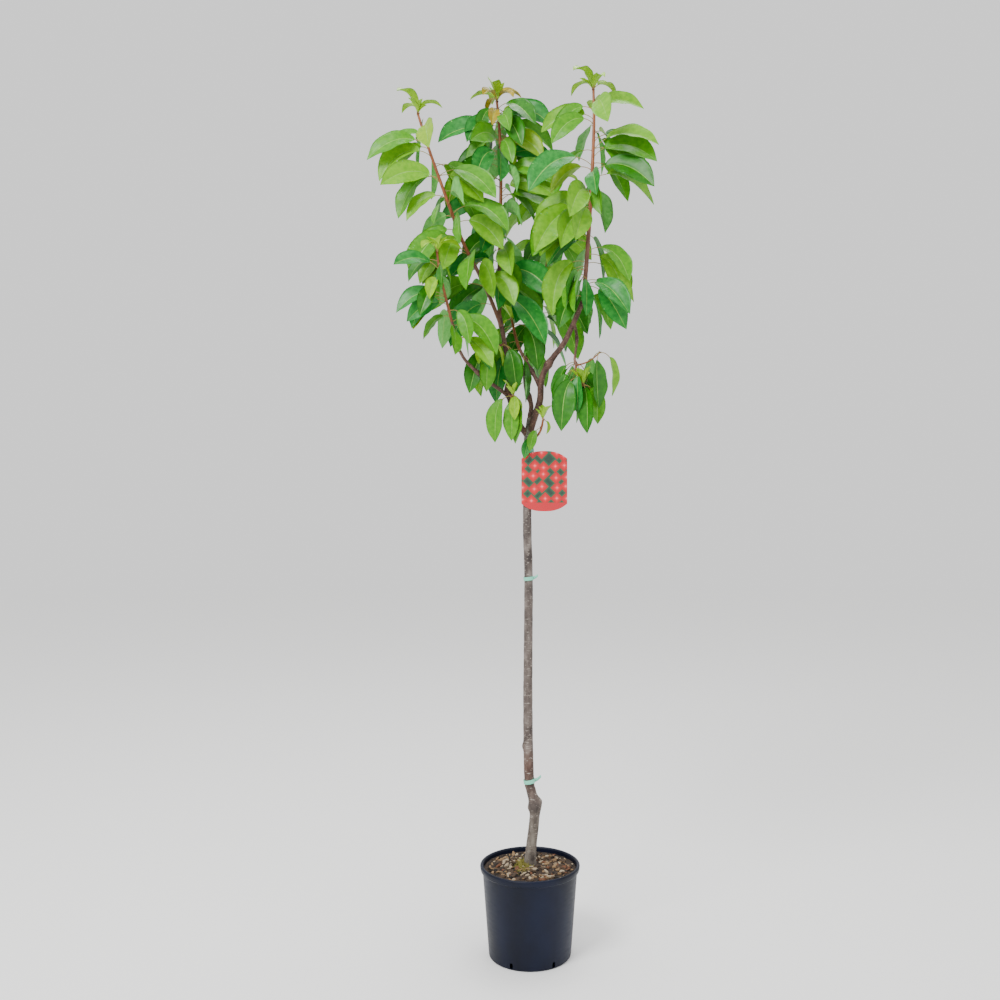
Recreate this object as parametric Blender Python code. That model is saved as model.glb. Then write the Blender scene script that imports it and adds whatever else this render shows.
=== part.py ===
"""Potted sweet cherry: a young half-standard tree in a twelve-litre nursery pot, with its picture label and two ties.

Metres, +Z up. The origin is the middle of the pot's flat underside, and the tree's front faces -Y.
The trunk carries boughs, each bough carries masses of foliage, and a mass is one stem with leaves on petioles.
"""

import math
import random

import bmesh
import bpy
from mathutils import Matrix, Vector
from mathutils.bvhtree import BVHTree

# Clearance kept between two pieces that touch
GAP = 0.0003
# Room that a growing leaf keeps round limbs and other leaves
LEAF_ROOM = 0.0012

# Pot, moulded in one piece
POT_SIDES = 48
POT_HEIGHT = 0.2535
RIM_RADIUS = 0.140
RIM_WIDTH = 0.0095
RIM_DEPTH = 0.018
RIM_STEPS = 6
RIM_SKIRT_SHARE = 0.62
RIM_SKIRT_SLOPE = 0.002
RIM_INNER_DROP = 0.006
WALL_TOP_RADIUS = 0.1325
BASE_RADIUS = 0.1155
BASE_CORNER = 0.006
BASE_CORNER_SHARE = 0.3
WALL = 0.0025
FLOOR = 0.003
DRAIN_SLOTS = 6
DRAIN_WIDTH = 0.009
DRAIN_HEIGHT = 0.020
DRAIN_SILL = 0.0012
DRAIN_ARCH_STEPS = 6
DRAIN_CUT_DEPTH = 0.012
DRAIN_FIRST_TURN = math.radians(-116)

# Compost, with a low mound at the foot of the trunk
SOIL_EDGE_LEVEL = 0.2405
SOIL_MOUND_LEVEL = 0.2480
SOIL_MOUND_RADIUS = 0.040
SOIL_UNEVEN = 0.0022
SOIL_RINGS = 4
SOIL_WALL_ROOM = 0.0005
SOIL_EVEN_MARGIN = 0.004
SOIL_SEED = 4

# Trunk
TRUNK_SIDES = 14
TRUNK_FOOT_RADIUS = 0.0148
TRUNK_RADIUS = 0.0120
TRUNK_TAPER_HEIGHT = 0.75
ROOT_FLARE = 0.0036
ROOT_FLARE_HEIGHT = 0.020
GRAFT_HEIGHT = 0.165
GRAFT_SWELLING = 0.0040
GRAFT_LENGTH = 0.017
FORK_HEIGHT = 1.195
FORK_SWELLING = 0.0022
FORK_LENGTH = 0.045
STUB_RADIUS = 0.0085
STUB_LENGTH = 0.050
# Healed knobs on the trunk: height above the compost, turn round the trunk, how far it stands out, its size
TRUNK_KNOBS = (
    (0.180, math.radians(8), 0.0060, 0.011),
    (0.158, math.radians(180), 0.0030, 0.009),
    (0.336, math.radians(182), 0.0040, 0.009),
)

# Limbs
PATH_STEPS = 3
TRUNK_PATH_STEPS = 4
BOUGH_SIDES = 8
STEM_SIDES = 6
TWIG_SIDES = 4
COLLAR_SWELLING = 0.30
COLLAR_LENGTH = 0.012
KNOB_SWELLING = 0.45
KNOB_LENGTH = 0.012
# Two limbs with points nearer than this may touch
NEIGHBOUR_REACH = 0.030
# The way that the first corner of a limb's rings looks
RING_START = Vector((0.3, -0.9, 0.1))

# Each limb: what carries it and how far along that, its path from there, and its radius at foot and tip.
# A limb carried at share 1 goes on from the tip of the one below; any other springs from its side.
TRUNK_PATH = (
    (0.000, 0.012, SOIL_MOUND_LEVEL + GAP),
    (0.004, 0.012, 0.301),
    (0.010, 0.011, 0.349),
    (0.014, 0.010, 0.412),
    (0.003, 0.009, 0.455),
    (-0.003, 0.008, 0.499),
    (-0.006, 0.004, 0.711),
    (-0.004, 0.000, 1.035),
    (-0.008, -0.002, 1.231),
    (-0.003, 0.000, 1.442),
    (0.000, 0.004, 1.505),
)
BOUGHS = {
    "left_bough": {
        "carrier": "trunk",
        "share": 0.955,
        "path": ((-0.034, -0.004, 1.495), (-0.062, -0.008, 1.576), (-0.057, -0.004, 1.627),
                 (-0.070, 0.004, 1.706), (-0.084, 0.010, 1.785)),
        "radii": (0.0085, 0.0060),
        "knob": 0.40,
    },
    "right_bough": {
        "carrier": "trunk",
        "share": 0.965,
        "path": ((0.014, -0.006, 1.510), (0.028, -0.012, 1.553), (0.033, -0.016, 1.614),
                 (0.059, -0.020, 1.664), (0.099, -0.028, 1.719), (0.148, -0.040, 1.828)),
        "radii": (0.0100, 0.0065),
        "knob": 0.50,
    },
    "back_bough": {
        "carrier": "trunk",
        "share": 1.0,
        "path": ((0.003, 0.012, 1.543), (-0.011, 0.035, 1.590), (-0.014, 0.060, 1.649),
                 (-0.003, 0.085, 1.709)),
        "radii": (0.0070, 0.0052),
        "knob": 0.30,
    },
    "left_low_bough": {
        "carrier": "left_bough",
        "share": 0.365,
        "path": ((-0.089, -0.030, 1.585), (-0.127, -0.060, 1.611), (-0.172, -0.090, 1.652),
                 (-0.190, -0.105, 1.680)),
        "radii": (0.0052, 0.0042),
        "knob": 0.60,
    },
    "inner_bough": {
        "carrier": "right_bough",
        "share": 0.32,
        "path": ((0.014, 0.000, 1.619), (-0.008, 0.020, 1.660)),
        "radii": (0.0058, 0.0050),
        "knob": 0.70,
    },
    "right_low_bough": {
        "carrier": "right_bough",
        "share": 0.84,
        "path": ((0.129, -0.055, 1.721), (0.123, -0.075, 1.667)),
        "radii": (0.0040, 0.0034),
        "knob": 0.50,
    },
}

# Each mass of foliage: its stem, given as a limb is, and the leaves that grow along it from the bottom up.
# l, r, f and b turn a leaf to the left, right, front or back; a capital is a short twig with leaves at its end.
# hang goes from 0, arching up and over, to 1, hanging straight down, and is given for the stem's foot and tip.
MASSES = {
    "centre_leader_leaves": {
        "carrier": "left_bough",
        "share": 1.0,
        "path": ((-0.088, 0.030, 1.882), (-0.086, 0.055, 2.015), (-0.084, 0.085, 2.194),
                 (-0.087, 0.100, 2.314), (-0.096, 0.110, 2.427)),
        "radii": (0.0058, 0.0024),
        "grows": "lrlflbbflbrrllrlrblfrlrrfr",
        "hang": (0.55, 0.10),
        "blade": 0.145,
        "crowding": 0.70,
        "tips": 7,
        "seed": 18,
    },
    "left_leader_leaves": {
        "carrier": "left_bough",
        "share": 0.93,
        "path": ((-0.112, 0.006, 1.841), (-0.145, -0.010, 1.911), (-0.189, -0.030, 1.997),
                 (-0.232, -0.045, 2.112), (-0.276, -0.050, 2.235), (-0.310, -0.045, 2.342)),
        "radii": (0.0055, 0.0022),
        "grows": "lrlbbfbllrrfblrrlllb",
        "hang": (0.55, 0.10),
        "blade": 0.155,
        "tips": 4,
        "seed": 61,
    },
    "right_leader_leaves": {
        "carrier": "right_bough",
        "share": 1.0,
        "path": ((0.155, -0.050, 1.915), (0.165, -0.055, 2.060), (0.173, -0.045, 2.201),
                 (0.178, -0.030, 2.330), (0.177, -0.020, 2.417)),
        "radii": (0.0063, 0.0024),
        "grows": "fllrblblllfbrrlrrrrblrb",
        "hang": (0.70, 0.05),
        "blade": 0.160,
        "tips": 4,
        "seed": 41,
    },
    "left_low_leaves": {
        "carrier": "left_low_bough",
        "share": 1.0,
        "path": ((-0.205, -0.120, 1.735), (-0.223, -0.135, 1.808), (-0.241, -0.140, 1.885),
                 (-0.249, -0.140, 1.941)),
        "radii": (0.0040, 0.0020),
        "grows": "rfrbllbbll",
        "hang": (0.60, 0.15),
        "blade": 0.125,
        "tips": 2,
        "seed": 99,
    },
    "back_leaves": {
        "carrier": "back_bough",
        "share": 1.0,
        "path": ((0.017, 0.110, 1.779), (0.038, 0.145, 1.886), (0.056, 0.175, 2.010),
                 (0.072, 0.190, 2.117), (0.078, 0.195, 2.199)),
        "radii": (0.0050, 0.0022),
        "grows": "blrrrrbfblbrfblf",
        "hang": (0.75, 0.10),
        "blade": 0.145,
        "tips": 4,
        "seed": 86,
    },
    "inner_leaves": {
        "carrier": "inner_bough",
        "share": 1.0,
        "path": ((-0.028, 0.035, 1.698), (-0.040, 0.045, 1.733), (-0.052, 0.060, 1.787)),
        "radii": (0.0048, 0.0022),
        "grows": "flrlr",
        "hang": (1.0, 0.8),
        "blade": 0.125,
        "tips": 1,
        "seed": 92,
    },
    "right_low_leaves": {
        "carrier": "right_low_bough",
        "share": 1.0,
        "path": ((0.128, -0.090, 1.625), (0.144, -0.100, 1.586)),
        "radii": (0.0033, 0.0022),
        "grows": "bRlrlf",
        "hang": (0.95, 1.0),
        "blade": 0.125,
        "tips": 2,
        "seed": 91,
    },
    "left_spur_leaves": {
        "carrier": "left_bough",
        "share": 0.80,
        "path": ((-0.092, -0.020, 1.700), (-0.111, -0.035, 1.707)),
        "radii": (0.0030, 0.0022),
        "grows": "ll",
        "hang": (0.9, 1.0),
        "blade": 0.120,
        "tips": 2,
        "seed": 78,
    },
    "knob_spur_leaves": {
        "carrier": "left_bough",
        "share": 0.40,
        "path": ((-0.053, -0.030, 1.563), (-0.047, -0.045, 1.562)),
        "radii": (0.0030, 0.0022),
        "grows": "f",
        "hang": (1.0, 1.0),
        "blade": 0.125,
        "tips": 2,
        "seed": 50,
    },
    "fork_twig_leaves": {
        "carrier": "trunk",
        "share": 0.945,
        "path": ((0.020, -0.015, 1.453), (0.031, -0.030, 1.472), (0.036, -0.038, 1.496)),
        "radii": (0.0032, 0.0020),
        "grows": "ll",
        "hang": (0.9, 0.9),
        "blade": 0.075,
        "tips": 1,
        "seed": 90,
    },
}

# Leaf: an oval blade folded a little along its midrib, on a thin petiole
PETIOLE_SHARE = 0.27
PETIOLE_RADIUS = 0.0013
PETIOLE_SPREAD = (0.85, 1.2)
BLADE_WIDTH_SHARE = 0.46
# Powers that shape the outline towards base and tip, and the height of that curve
BLADE_BASE_POWER = 0.55
BLADE_TIP_START = 2.4
BLADE_TIP_POWER = 1.15
BLADE_PEAK = 0.536
LEAF_THICKNESS_SHARE = 0.016
FOLD = math.radians(14)
LEAF_STEPS = 20
PETIOLE_STEPS = 4
LEAF_SECTIONS = (0, 2, 4, 7, 11, 15, 18)
FREE_OF_STEM_FROM = 2
# Blades roll over about their midribs, those at the sides to face the front, where the light comes from
LIGHT = Vector((0.0, -1.0, 0.0))
ROLL = (math.radians(38), math.radians(78))
FACES_LIGHT = 0.5

# How leaves grow: at hang 0 and at hang 1, the petiole's slope, the tip's slope, and how early it bends down
RISE = (math.radians(58), math.radians(-8))
FALL = (math.radians(-38), math.radians(-93))
BEND = (1.15, 4.0)
SIDE_TURNS = {"r": 0.0, "b": 90.0, "l": 180.0, "f": 270.0}
TURN_SPREAD = 28.0
SLOPE_SPREAD = 14.0
HANG_SPREAD = 0.14
SWEEP_SPREAD = 22.0
BLADE_SPREAD = 0.20
TRIED_TURNS = (0.0, 24.0, -24.0, 48.0, -48.0, 72.0, -72.0)
FIRST_LEAF_SHARE = 0.08
LAST_LEAF_SHARE = 0.95
YOUNG_SHARE = 0.14
YOUNG_SIZE = 0.50
TIP_RISE = 24.0
MASS_REACH = 0.24
TWIG_LENGTH = 0.075
TWIG_SLOPE = math.radians(38)
TWIG_RADII = (0.0024, 0.0016)
TWIG_LEAVES = 3

# Label of coated card, arched at top and bottom, on a strap round the trunk
LABEL_WIDTH = 0.128
LABEL_HEIGHT = 0.168
LABEL_ARCH = 0.021
LABEL_BULGE = 0.006
LABEL_THICKNESS = 0.0012
LABEL_CENTRE = (0.040, 1.3265)
LABEL_COLUMNS = 10
LABEL_COLUMN_POWER = 0.8
LABEL_ARCH_POWER = 2.6
STRAP_HEIGHTS = (1.379, 1.4165)
STRAP_THICKNESS = 0.0010
STRAP_FLARE = 0.0012
# The trunk leans a little inside the upright strap
STRAP_ROOM = 0.0011
BAND_SIDES = 20

# Ties of soft green tape: height, band height, tilt, tail length
TIES = {
    "lower_tie": (0.484, 0.011, math.radians(-9), 0.020),
    "upper_tie": (1.054, 0.010, math.radians(-6), 0.014),
}
TIE_THICKNESS = 0.0019
# A tie is made this far into the trunk and then cut clear of it, so that it lies close all round
TIE_SINK = 0.0010
TAIL_SHARES = (0.0, 0.5, 1.0)
TAIL_RISE = 0.45
TAIL_HALF_HEIGHT = 0.42
TAIL_NARROWING = 0.1

# Colours as sRGB hex, roughness
PAINTS = {
    "pot_plastic": ("2b3040", 0.45),
    "compost": ("4b3a2c", 0.95),
    "trunk_bark": ("857c76", 0.85),
    "bough_bark": ("5f4c45", 0.80),
    "leaf": ("55962a", 0.50),
    "label_card": ("d9525a", 0.35),
    "strap": ("4fae8f", 0.50),
    "tie_tape": ("84d4b2", 0.45),
}


def clear_scene():
    for obj in list(bpy.data.objects):
        bpy.data.objects.remove(obj)


def linear(hex_colour):
    """An sRGB hex colour as linear red, green, blue and alpha."""
    parts = [int(hex_colour[i : i + 2], 16) / 255 for i in (0, 2, 4)]
    return [p / 12.92 if p <= 0.04045 else ((p + 0.055) / 1.055) ** 2.4 for p in parts] + [1.0]


def paint(name):
    """The named material, made once."""
    found = bpy.data.materials.get(name)
    if found:
        return found
    hex_colour, roughness = PAINTS[name]
    material = bpy.data.materials.new(name)
    material.use_nodes = True
    shader = material.node_tree.nodes["Principled BSDF"]
    shader.inputs["Base Color"].default_value = linear(hex_colour)
    shader.inputs["Roughness"].default_value = roughness
    shader.inputs["Metallic"].default_value = 0.0
    return material


def new_object(name, solid, material, collection=None):
    """An object from points and faces, shaded smooth with sharp edges kept."""
    mesh = bpy.data.meshes.new(name)
    mesh.from_pydata([tuple(v) for v in solid[0]], [], solid[1])
    mesh.materials.append(paint(material))
    mesh.shade_smooth()
    mesh.set_sharp_from_angle(angle=math.radians(40))
    obj = bpy.data.objects.new(name, mesh)
    (collection or bpy.context.scene.collection).objects.link(obj)
    return obj


def take_shape(obj, modifier):
    """Applies the modifier to the object's mesh."""
    bpy.context.view_layer.update()
    graph = bpy.context.evaluated_depsgraph_get()
    mesh = bpy.data.meshes.new_from_object(obj.evaluated_get(graph))
    obj.modifiers.remove(modifier)
    old = obj.data
    obj.data = mesh
    bpy.data.meshes.remove(old)


def keep_outside(obj):
    """Keeps the largest closed surface, so that a sealed hollow is filled and a loose scrap is dropped."""
    mesh = bmesh.new()
    mesh.from_mesh(obj.data)
    left = set(mesh.faces)
    shells = []
    while left:
        shell = [left.pop()]
        for face in shell:
            for edge in face.edges:
                for neighbour in edge.link_faces:
                    if neighbour in left:
                        left.remove(neighbour)
                        shell.append(neighbour)
        shells.append(shell)
    shells.sort(key=len)
    loose = [face for shell in shells[:-1] for face in shell]
    bmesh.ops.delete(mesh, geom=loose, context="FACES")
    mesh.to_mesh(obj.data)
    mesh.free()


def cut(obj, solid):
    """Takes a closed solid out of the object."""
    cutter = new_object(obj.name + "_cutter", solid, obj.active_material.name)
    cutter.hide_render = True
    cutter.display_type = "WIRE"
    modifier = obj.modifiers.new("cut", "BOOLEAN")
    modifier.operation = "DIFFERENCE"
    modifier.solver = "EXACT"
    modifier.object = cutter
    take_shape(obj, modifier)
    bpy.data.objects.remove(cutter)
    keep_outside(obj)


def join(obj, solids, material):
    """Joins closed solids to the object by one union on a collection.

    Many petioles meet in a stem, where the exact solver leaves a leaf loose or a fold that touches itself.
    """
    group = bpy.data.collections.new(obj.name + "_joined")
    bpy.context.scene.collection.children.link(group)
    for i, solid in enumerate(solids):
        new_object(f"{obj.name}_{i}", solid, material, group)
    modifier = obj.modifiers.new("join", "BOOLEAN")
    modifier.operation = "UNION"
    modifier.solver = "MANIFOLD"
    modifier.operand_type = "COLLECTION"
    modifier.collection = group
    take_shape(obj, modifier)
    for part in list(group.objects):
        bpy.data.objects.remove(part)
    bpy.data.collections.remove(group)
    keep_outside(obj)


def loft(rings, tip=None):
    """A closed solid through rings of points that run anticlockwise about the way they go, ending flat or at a tip."""
    points = [p for ring in rings for p in ring]
    count = len(rings[0])
    faces = [tuple(reversed(range(count)))]
    for start in range(0, (len(rings) - 1) * count, count):
        for k in range(count):
            after = (k + 1) % count
            faces.append((start + k, start + after, start + count + after, start + count + k))
    last = (len(rings) - 1) * count
    if tip is None:
        faces.append(tuple(range(last, last + count)))
    else:
        points.append(tip)
        faces += [(last + k, last + (k + 1) % count, len(points) - 1) for k in range(count)]
    return points, faces


def turned(profile, sides):
    """A closed solid turned about Z from a profile of radius and height that starts and ends on the axis."""
    points = [Vector((0, 0, profile[0][1]))]
    for radius, height in profile[1:-1]:
        for k in range(sides):
            angle = 2 * math.pi * k / sides
            points.append(Vector((radius * math.cos(angle), radius * math.sin(angle), height)))
    points.append(Vector((0, 0, profile[-1][1])))
    faces = []
    end = len(points) - 1
    for k in range(sides):
        after = (k + 1) % sides
        faces.append((0, 1 + after, 1 + k))
        for row in range(len(profile) - 3):
            a = 1 + row * sides
            faces.append((a + k, a + after, a + sides + after, a + sides + k))
        faces.append((end - sides + k, end - sides + after, end))
    return points, faces


def smooth_path(points, steps):
    """An even curve through each of the points, with the given number of steps from one to the next."""
    points = [Vector(p) for p in points]
    ends = [2 * points[0] - points[1], *points, 2 * points[-1] - points[-2]]
    path = []
    for a, b, c, d in zip(ends, ends[1:], ends[2:], ends[3:]):
        for i in range(steps):
            t = i / steps
            bend = (2 * a - 5 * b + 4 * c - d) * t * t + (3 * b - a - 3 * c + d) * t**3
            path.append((2 * b + (c - a) * t + bend) / 2)
    path.append(points[-1])
    return path


def travelled(path):
    """How far along the path each of its points lies."""
    total = [0.0]
    for a, b in zip(path, path[1:]):
        total.append(total[-1] + (b - a).length)
    return total


def spot(path, share):
    """The point at that share of the path's length, and the path's direction there."""
    run = travelled(path)
    want = share * run[-1]
    for i in range(len(path) - 1):
        if run[i + 1] >= want or i == len(path) - 2:
            step = path[i + 1] - path[i]
            part = (want - run[i]) / (run[i + 1] - run[i])
            return path[i] + step * part, step.normalized()


def tube(path, radius_at, sides, level=False, grown=0.0):
    """Points and faces of a closed tube. radius_at takes the distance along it, the share of its length and an angle."""
    run = travelled(path)
    side = Vector((1, 0, 0)) if level else RING_START
    rings = []
    for i, place in enumerate(path):
        along = path[min(i + 1, len(path) - 1)] - path[max(i - 1, 0)]
        along = Vector((0, 0, 1)) if level else along.normalized()
        side = (side - along * side.dot(along)).normalized()
        up = along.cross(side)
        ring = []
        for k in range(sides):
            angle = 2 * math.pi * k / sides
            radius = radius_at(run[i], run[i] / run[-1], angle) + grown
            ring.append(place + (side * math.cos(angle) + up * math.sin(angle)) * radius)
        rings.append(ring)
    return loft(rings)


def bell(offset, length):
    """A smooth hump: 1 in the middle, falling to nothing over the given length."""
    return math.exp(-((offset / length) ** 2))


def trunk_radius(height, share, angle):
    """Taper, root flare, graft swelling, healed knobs, and the cut stub above the fork."""
    part = min(height / TRUNK_TAPER_HEIGHT, 1.0)
    radius = TRUNK_FOOT_RADIUS + (TRUNK_RADIUS - TRUNK_FOOT_RADIUS) * part
    radius += ROOT_FLARE * math.exp(-height / ROOT_FLARE_HEIGHT)
    radius += GRAFT_SWELLING * bell(height - GRAFT_HEIGHT, GRAFT_LENGTH)
    radius += FORK_SWELLING * bell(height - FORK_HEIGHT, FORK_LENGTH)
    for knob_height, turn, stand_out, size in TRUNK_KNOBS:
        around = math.atan2(math.sin(angle - turn), math.cos(angle - turn)) * TRUNK_RADIUS
        radius += stand_out * bell(height - knob_height, size) * bell(around, size)
    left = height / share * (1 - share) if share else height + STUB_LENGTH
    if left < STUB_LENGTH:
        radius = STUB_RADIUS + (radius - STUB_RADIUS) * left / STUB_LENGTH
    return radius


def limb_radius(limb):
    """The radius rule of a bough or stem: an even taper, a collar where it springs from a side, and a knob."""
    foot, tip = limb["radii"]
    collar = COLLAR_SWELLING if limb["share"] < 1 else 0.0
    knob = limb.get("knob")

    def radius_at(distance, share, angle):
        radius = foot + (tip - foot) * share
        swelling = collar * math.exp(-distance / COLLAR_LENGTH)
        if knob and share:
            swelling += KNOB_SWELLING * bell(distance * (1 - knob / share), KNOB_LENGTH)
        return radius * (1 + swelling)

    return radius_at


def limb_shape(limb, sides, carriers):
    """Where a limb runs and how thick it is. It starts a gap past its carrier's tip, or inside its carrier's side."""
    carrier = carriers[limb["carrier"]]
    start, along = spot(carrier["path"], limb["share"])
    if carrier["level"]:
        along = Vector((0, 0, 1))
    if limb["share"] == 1:
        start = start + along * GAP
    path = smooth_path([start, *limb["path"]], PATH_STEPS)
    if limb["share"] == 1:
        path = straighten_foot(path, along)
    return {"path": path, "radius_at": limb_radius(limb), "sides": sides, "level": False}


def straighten_foot(path, along):
    """Starts the path in its carrier's direction, so that both end faces lie flat on each other."""
    step = (path[1] - path[0]).length / 2
    return [path[0], path[0] + along * step, *path[1:]]


def shape_solid(shape, grown=0.0):
    return tube(shape["path"], shape["radius_at"], shape["sides"], shape["level"], grown)


def near(a, b):
    """Whether two limbs run close enough to touch."""
    return any((p - q).length < NEIGHBOUR_REACH for p in a["path"] for q in b["path"])


def make_limb(name, limb, sides, shapes, material):
    """A bough or stem, cut clear of the limbs that were there before it."""
    shape = limb_shape(limb, sides, shapes)
    obj = new_object(name, shape_solid(shape), material)
    for other_name, other in shapes.items():
        if near(shape, other) and not (limb["share"] == 1 and other_name == limb["carrier"]):
            cut(obj, shape_solid(other, GAP))
    shapes[name] = shape
    return obj


def make_trunk(shapes):
    path = smooth_path(TRUNK_PATH, TRUNK_PATH_STEPS)
    shapes["trunk"] = {"path": path, "radius_at": trunk_radius, "sides": TRUNK_SIDES, "level": True}
    new_object("trunk", shape_solid(shapes["trunk"]), "trunk_bark")


def blade_outline(share):
    """Half width of a blade as a share of its widest: rounded at the base, drawn out to a point at the tip."""
    height = share**BLADE_BASE_POWER * (1 - share**BLADE_TIP_START) ** BLADE_TIP_POWER
    return min(1.0, height / BLADE_PEAK)


def leaf_line(leaf):
    """The midline from root to tip: place, direction and upright at each step."""
    total = leaf["petiole"] + leaf["blade"]
    place = leaf["root"].copy()
    run = 0.0
    line = []
    for i in range(LEAF_STEPS + 1):
        part = min(run / total, 1.0)
        slope = leaf["rise"] + (leaf["fall"] - leaf["rise"]) * (1 - (1 - part) ** leaf["bend"])
        turn = leaf["turn"] + leaf["sweep"] * part * part
        out = Vector((math.cos(turn), math.sin(turn), 0))
        along = out * math.cos(slope) + Vector((0, 0, math.sin(slope)))
        upright = Vector((0, 0, math.cos(slope))) - out * math.sin(slope)
        line.append((place.copy(), along, upright))
        petiole = i < PETIOLE_STEPS
        step = leaf["petiole"] / PETIOLE_STEPS if petiole else leaf["blade"] / (LEAF_STEPS - PETIOLE_STEPS)
        place = place + along * step
        run += step
    return line


def leaf_axes(along, upright, roll):
    """The direction that the upper face looks in, once the blade has rolled over, and the direction across it."""
    face = upright * math.cos(roll) + along.cross(upright) * math.sin(roll)
    return face, along.cross(face)


def roll_to_light(turn, roll, chance):
    """Rolls a blade that grows to the side towards the light, and one that grows to the front or back either way."""
    out = Vector((math.cos(turn), math.sin(turn), 0))
    faces_light = out.cross(Vector((0, 0, 1))).dot(LIGHT)
    either = chance.choice((-1, 1))
    return roll * (either if abs(faces_light) < FACES_LIGHT else math.copysign(1, faces_light))


def leaf_solid(leaf, first=0, grown=0.0):
    """A leaf from the given section on, as rings of four points that end at the tip."""
    line = leaf_line(leaf)
    rings = []
    for i in LEAF_SECTIONS[first:]:
        place, along, upright = line[i]
        face, across = leaf_axes(along, upright, leaf["roll"])
        share = max(0.0, (i - PETIOLE_STEPS) / (LEAF_STEPS - PETIOLE_STEPS))
        half = leaf["blade"] * BLADE_WIDTH_SHARE / 2 * blade_outline(share)
        fold = FOLD if half > PETIOLE_RADIUS else 0.0
        half = max(half, PETIOLE_RADIUS) + grown
        thick = leaf["blade"] * LEAF_THICKNESS_SHARE / 2 * (1 - share / 2) if share else PETIOLE_RADIUS
        top = place + face * (thick + grown)
        under = place - face * (thick + grown)
        lift = face * half * math.sin(fold)
        reach = across * half * math.cos(fold)
        rings.append([top, place + lift + reach, under, place + lift - reach])
    return loft(rings, line[-1][0])


def draw_leaf(root, turn, hang, blade, chance):
    """One leaf's sizes and slopes, each a little different from the rule by chance."""
    hang = min(1.0, max(0.0, hang + chance.uniform(-HANG_SPREAD, HANG_SPREAD)))
    spread = math.radians(SLOPE_SPREAD)
    blade = blade * (1 + chance.uniform(-BLADE_SPREAD, BLADE_SPREAD))
    turn = math.radians(turn + chance.uniform(-TURN_SPREAD, TURN_SPREAD))
    return {
        "root": root,
        "turn": turn,
        "rise": RISE[0] + (RISE[1] - RISE[0]) * hang + chance.uniform(-spread, spread),
        "fall": FALL[0] + (FALL[1] - FALL[0]) * hang + chance.uniform(-spread, spread),
        "bend": BEND[0] + (BEND[1] - BEND[0]) * hang,
        "sweep": math.radians(chance.uniform(-SWEEP_SPREAD, SWEEP_SPREAD)),
        "roll": roll_to_light(turn, chance.uniform(*ROLL), chance),
        "blade": blade,
        "petiole": blade * PETIOLE_SHARE * chance.uniform(*PETIOLE_SPREAD),
    }


def tree_of(solid):
    return BVHTree.FromPolygons(*solid)


def fits(leaf, stem, path, others, own):
    """Whether a leaf stays within its mass's reach, clear of all other masses and limbs and of its mass's leaves."""
    whole = leaf_solid(leaf, 0, LEAF_ROOM)
    if any(min((p - q).length for q in path) > MASS_REACH for p in whole[0]):
        return False
    if stem.overlap(tree_of(leaf_solid(leaf, FREE_OF_STEM_FROM, LEAF_ROOM))):
        return False
    tree = tree_of(whole)
    if any(other.overlap(tree) for other in others):
        return False
    past_root = tree_of(leaf_solid(leaf, 1, LEAF_ROOM))
    return not any(sister.overlap(past_root) for sister in own)


def placed(leaf, stem, path, others, own):
    """The leaf at the first turn where it fits, or nothing."""
    for turn in TRIED_TURNS:
        tried = dict(leaf, turn=leaf["turn"] + math.radians(turn))
        if fits(tried, stem, path, others, own):
            own.append(tree_of(leaf_solid(tried, 1)))
            return tried
    return None


def twig_path(root, turn):
    """A short side twig that curves upwards."""
    out = Vector((math.cos(turn), math.sin(turn), 0))
    middle = root + (out * math.cos(TWIG_SLOPE / 2) + Vector((0, 0, math.sin(TWIG_SLOPE / 2)))) * TWIG_LENGTH / 2
    end = middle + (out * math.cos(TWIG_SLOPE) + Vector((0, 0, math.sin(TWIG_SLOPE)))) * TWIG_LENGTH / 2
    return smooth_path([root, middle, end], PATH_STEPS)


def grow_mass(mass, shape, others):
    """The leaves and twigs of one mass as solids, from the foot of its stem to the tip."""
    chance = random.Random(mass["seed"])
    path = shape["path"]
    stem = tree_of(shape_solid(shape))
    own = []
    solids = []
    count = len(mass["grows"])

    def add(root, turn, hang, blade, rise=0.0):
        leaf = draw_leaf(root, turn, hang, blade, chance)
        leaf["rise"] += math.radians(rise)
        leaf = placed(leaf, stem, path, others, own)
        if leaf:
            solids.append(leaf_solid(leaf))

    for i, letter in enumerate(mass["grows"]):
        up = ((i + 0.5) / count) ** mass.get("crowding", 1.0)
        share = FIRST_LEAF_SHARE + (LAST_LEAF_SHARE - FIRST_LEAF_SHARE) * up
        root, _ = spot(path, share)
        hang = mass["hang"][0] + (mass["hang"][1] - mass["hang"][0]) * share
        age = min(1.0, YOUNG_SIZE + (1 - YOUNG_SIZE) * (1 - share) / YOUNG_SHARE)
        turn = SIDE_TURNS[letter.lower()]
        if letter.islower():
            add(root, turn, hang, mass["blade"] * age)
            continue
        twig = twig_path(root, math.radians(turn))
        solids.append(tube(twig, twig_radius, TWIG_SIDES))
        for k in range(TWIG_LEAVES):
            add(twig[-1], turn + 360 * k / TWIG_LEAVES, hang, mass["blade"] * age)
    for k in range(mass["tips"]):
        turn = 360 * (k + chance.random() / 2) / mass["tips"]
        add(path[-1], turn, mass["hang"][1], mass["blade"] * YOUNG_SIZE, TIP_RISE)
    return solids


def twig_radius(distance, share, angle):
    return TWIG_RADII[0] + (TWIG_RADII[1] - TWIG_RADII[0]) * share


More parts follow.
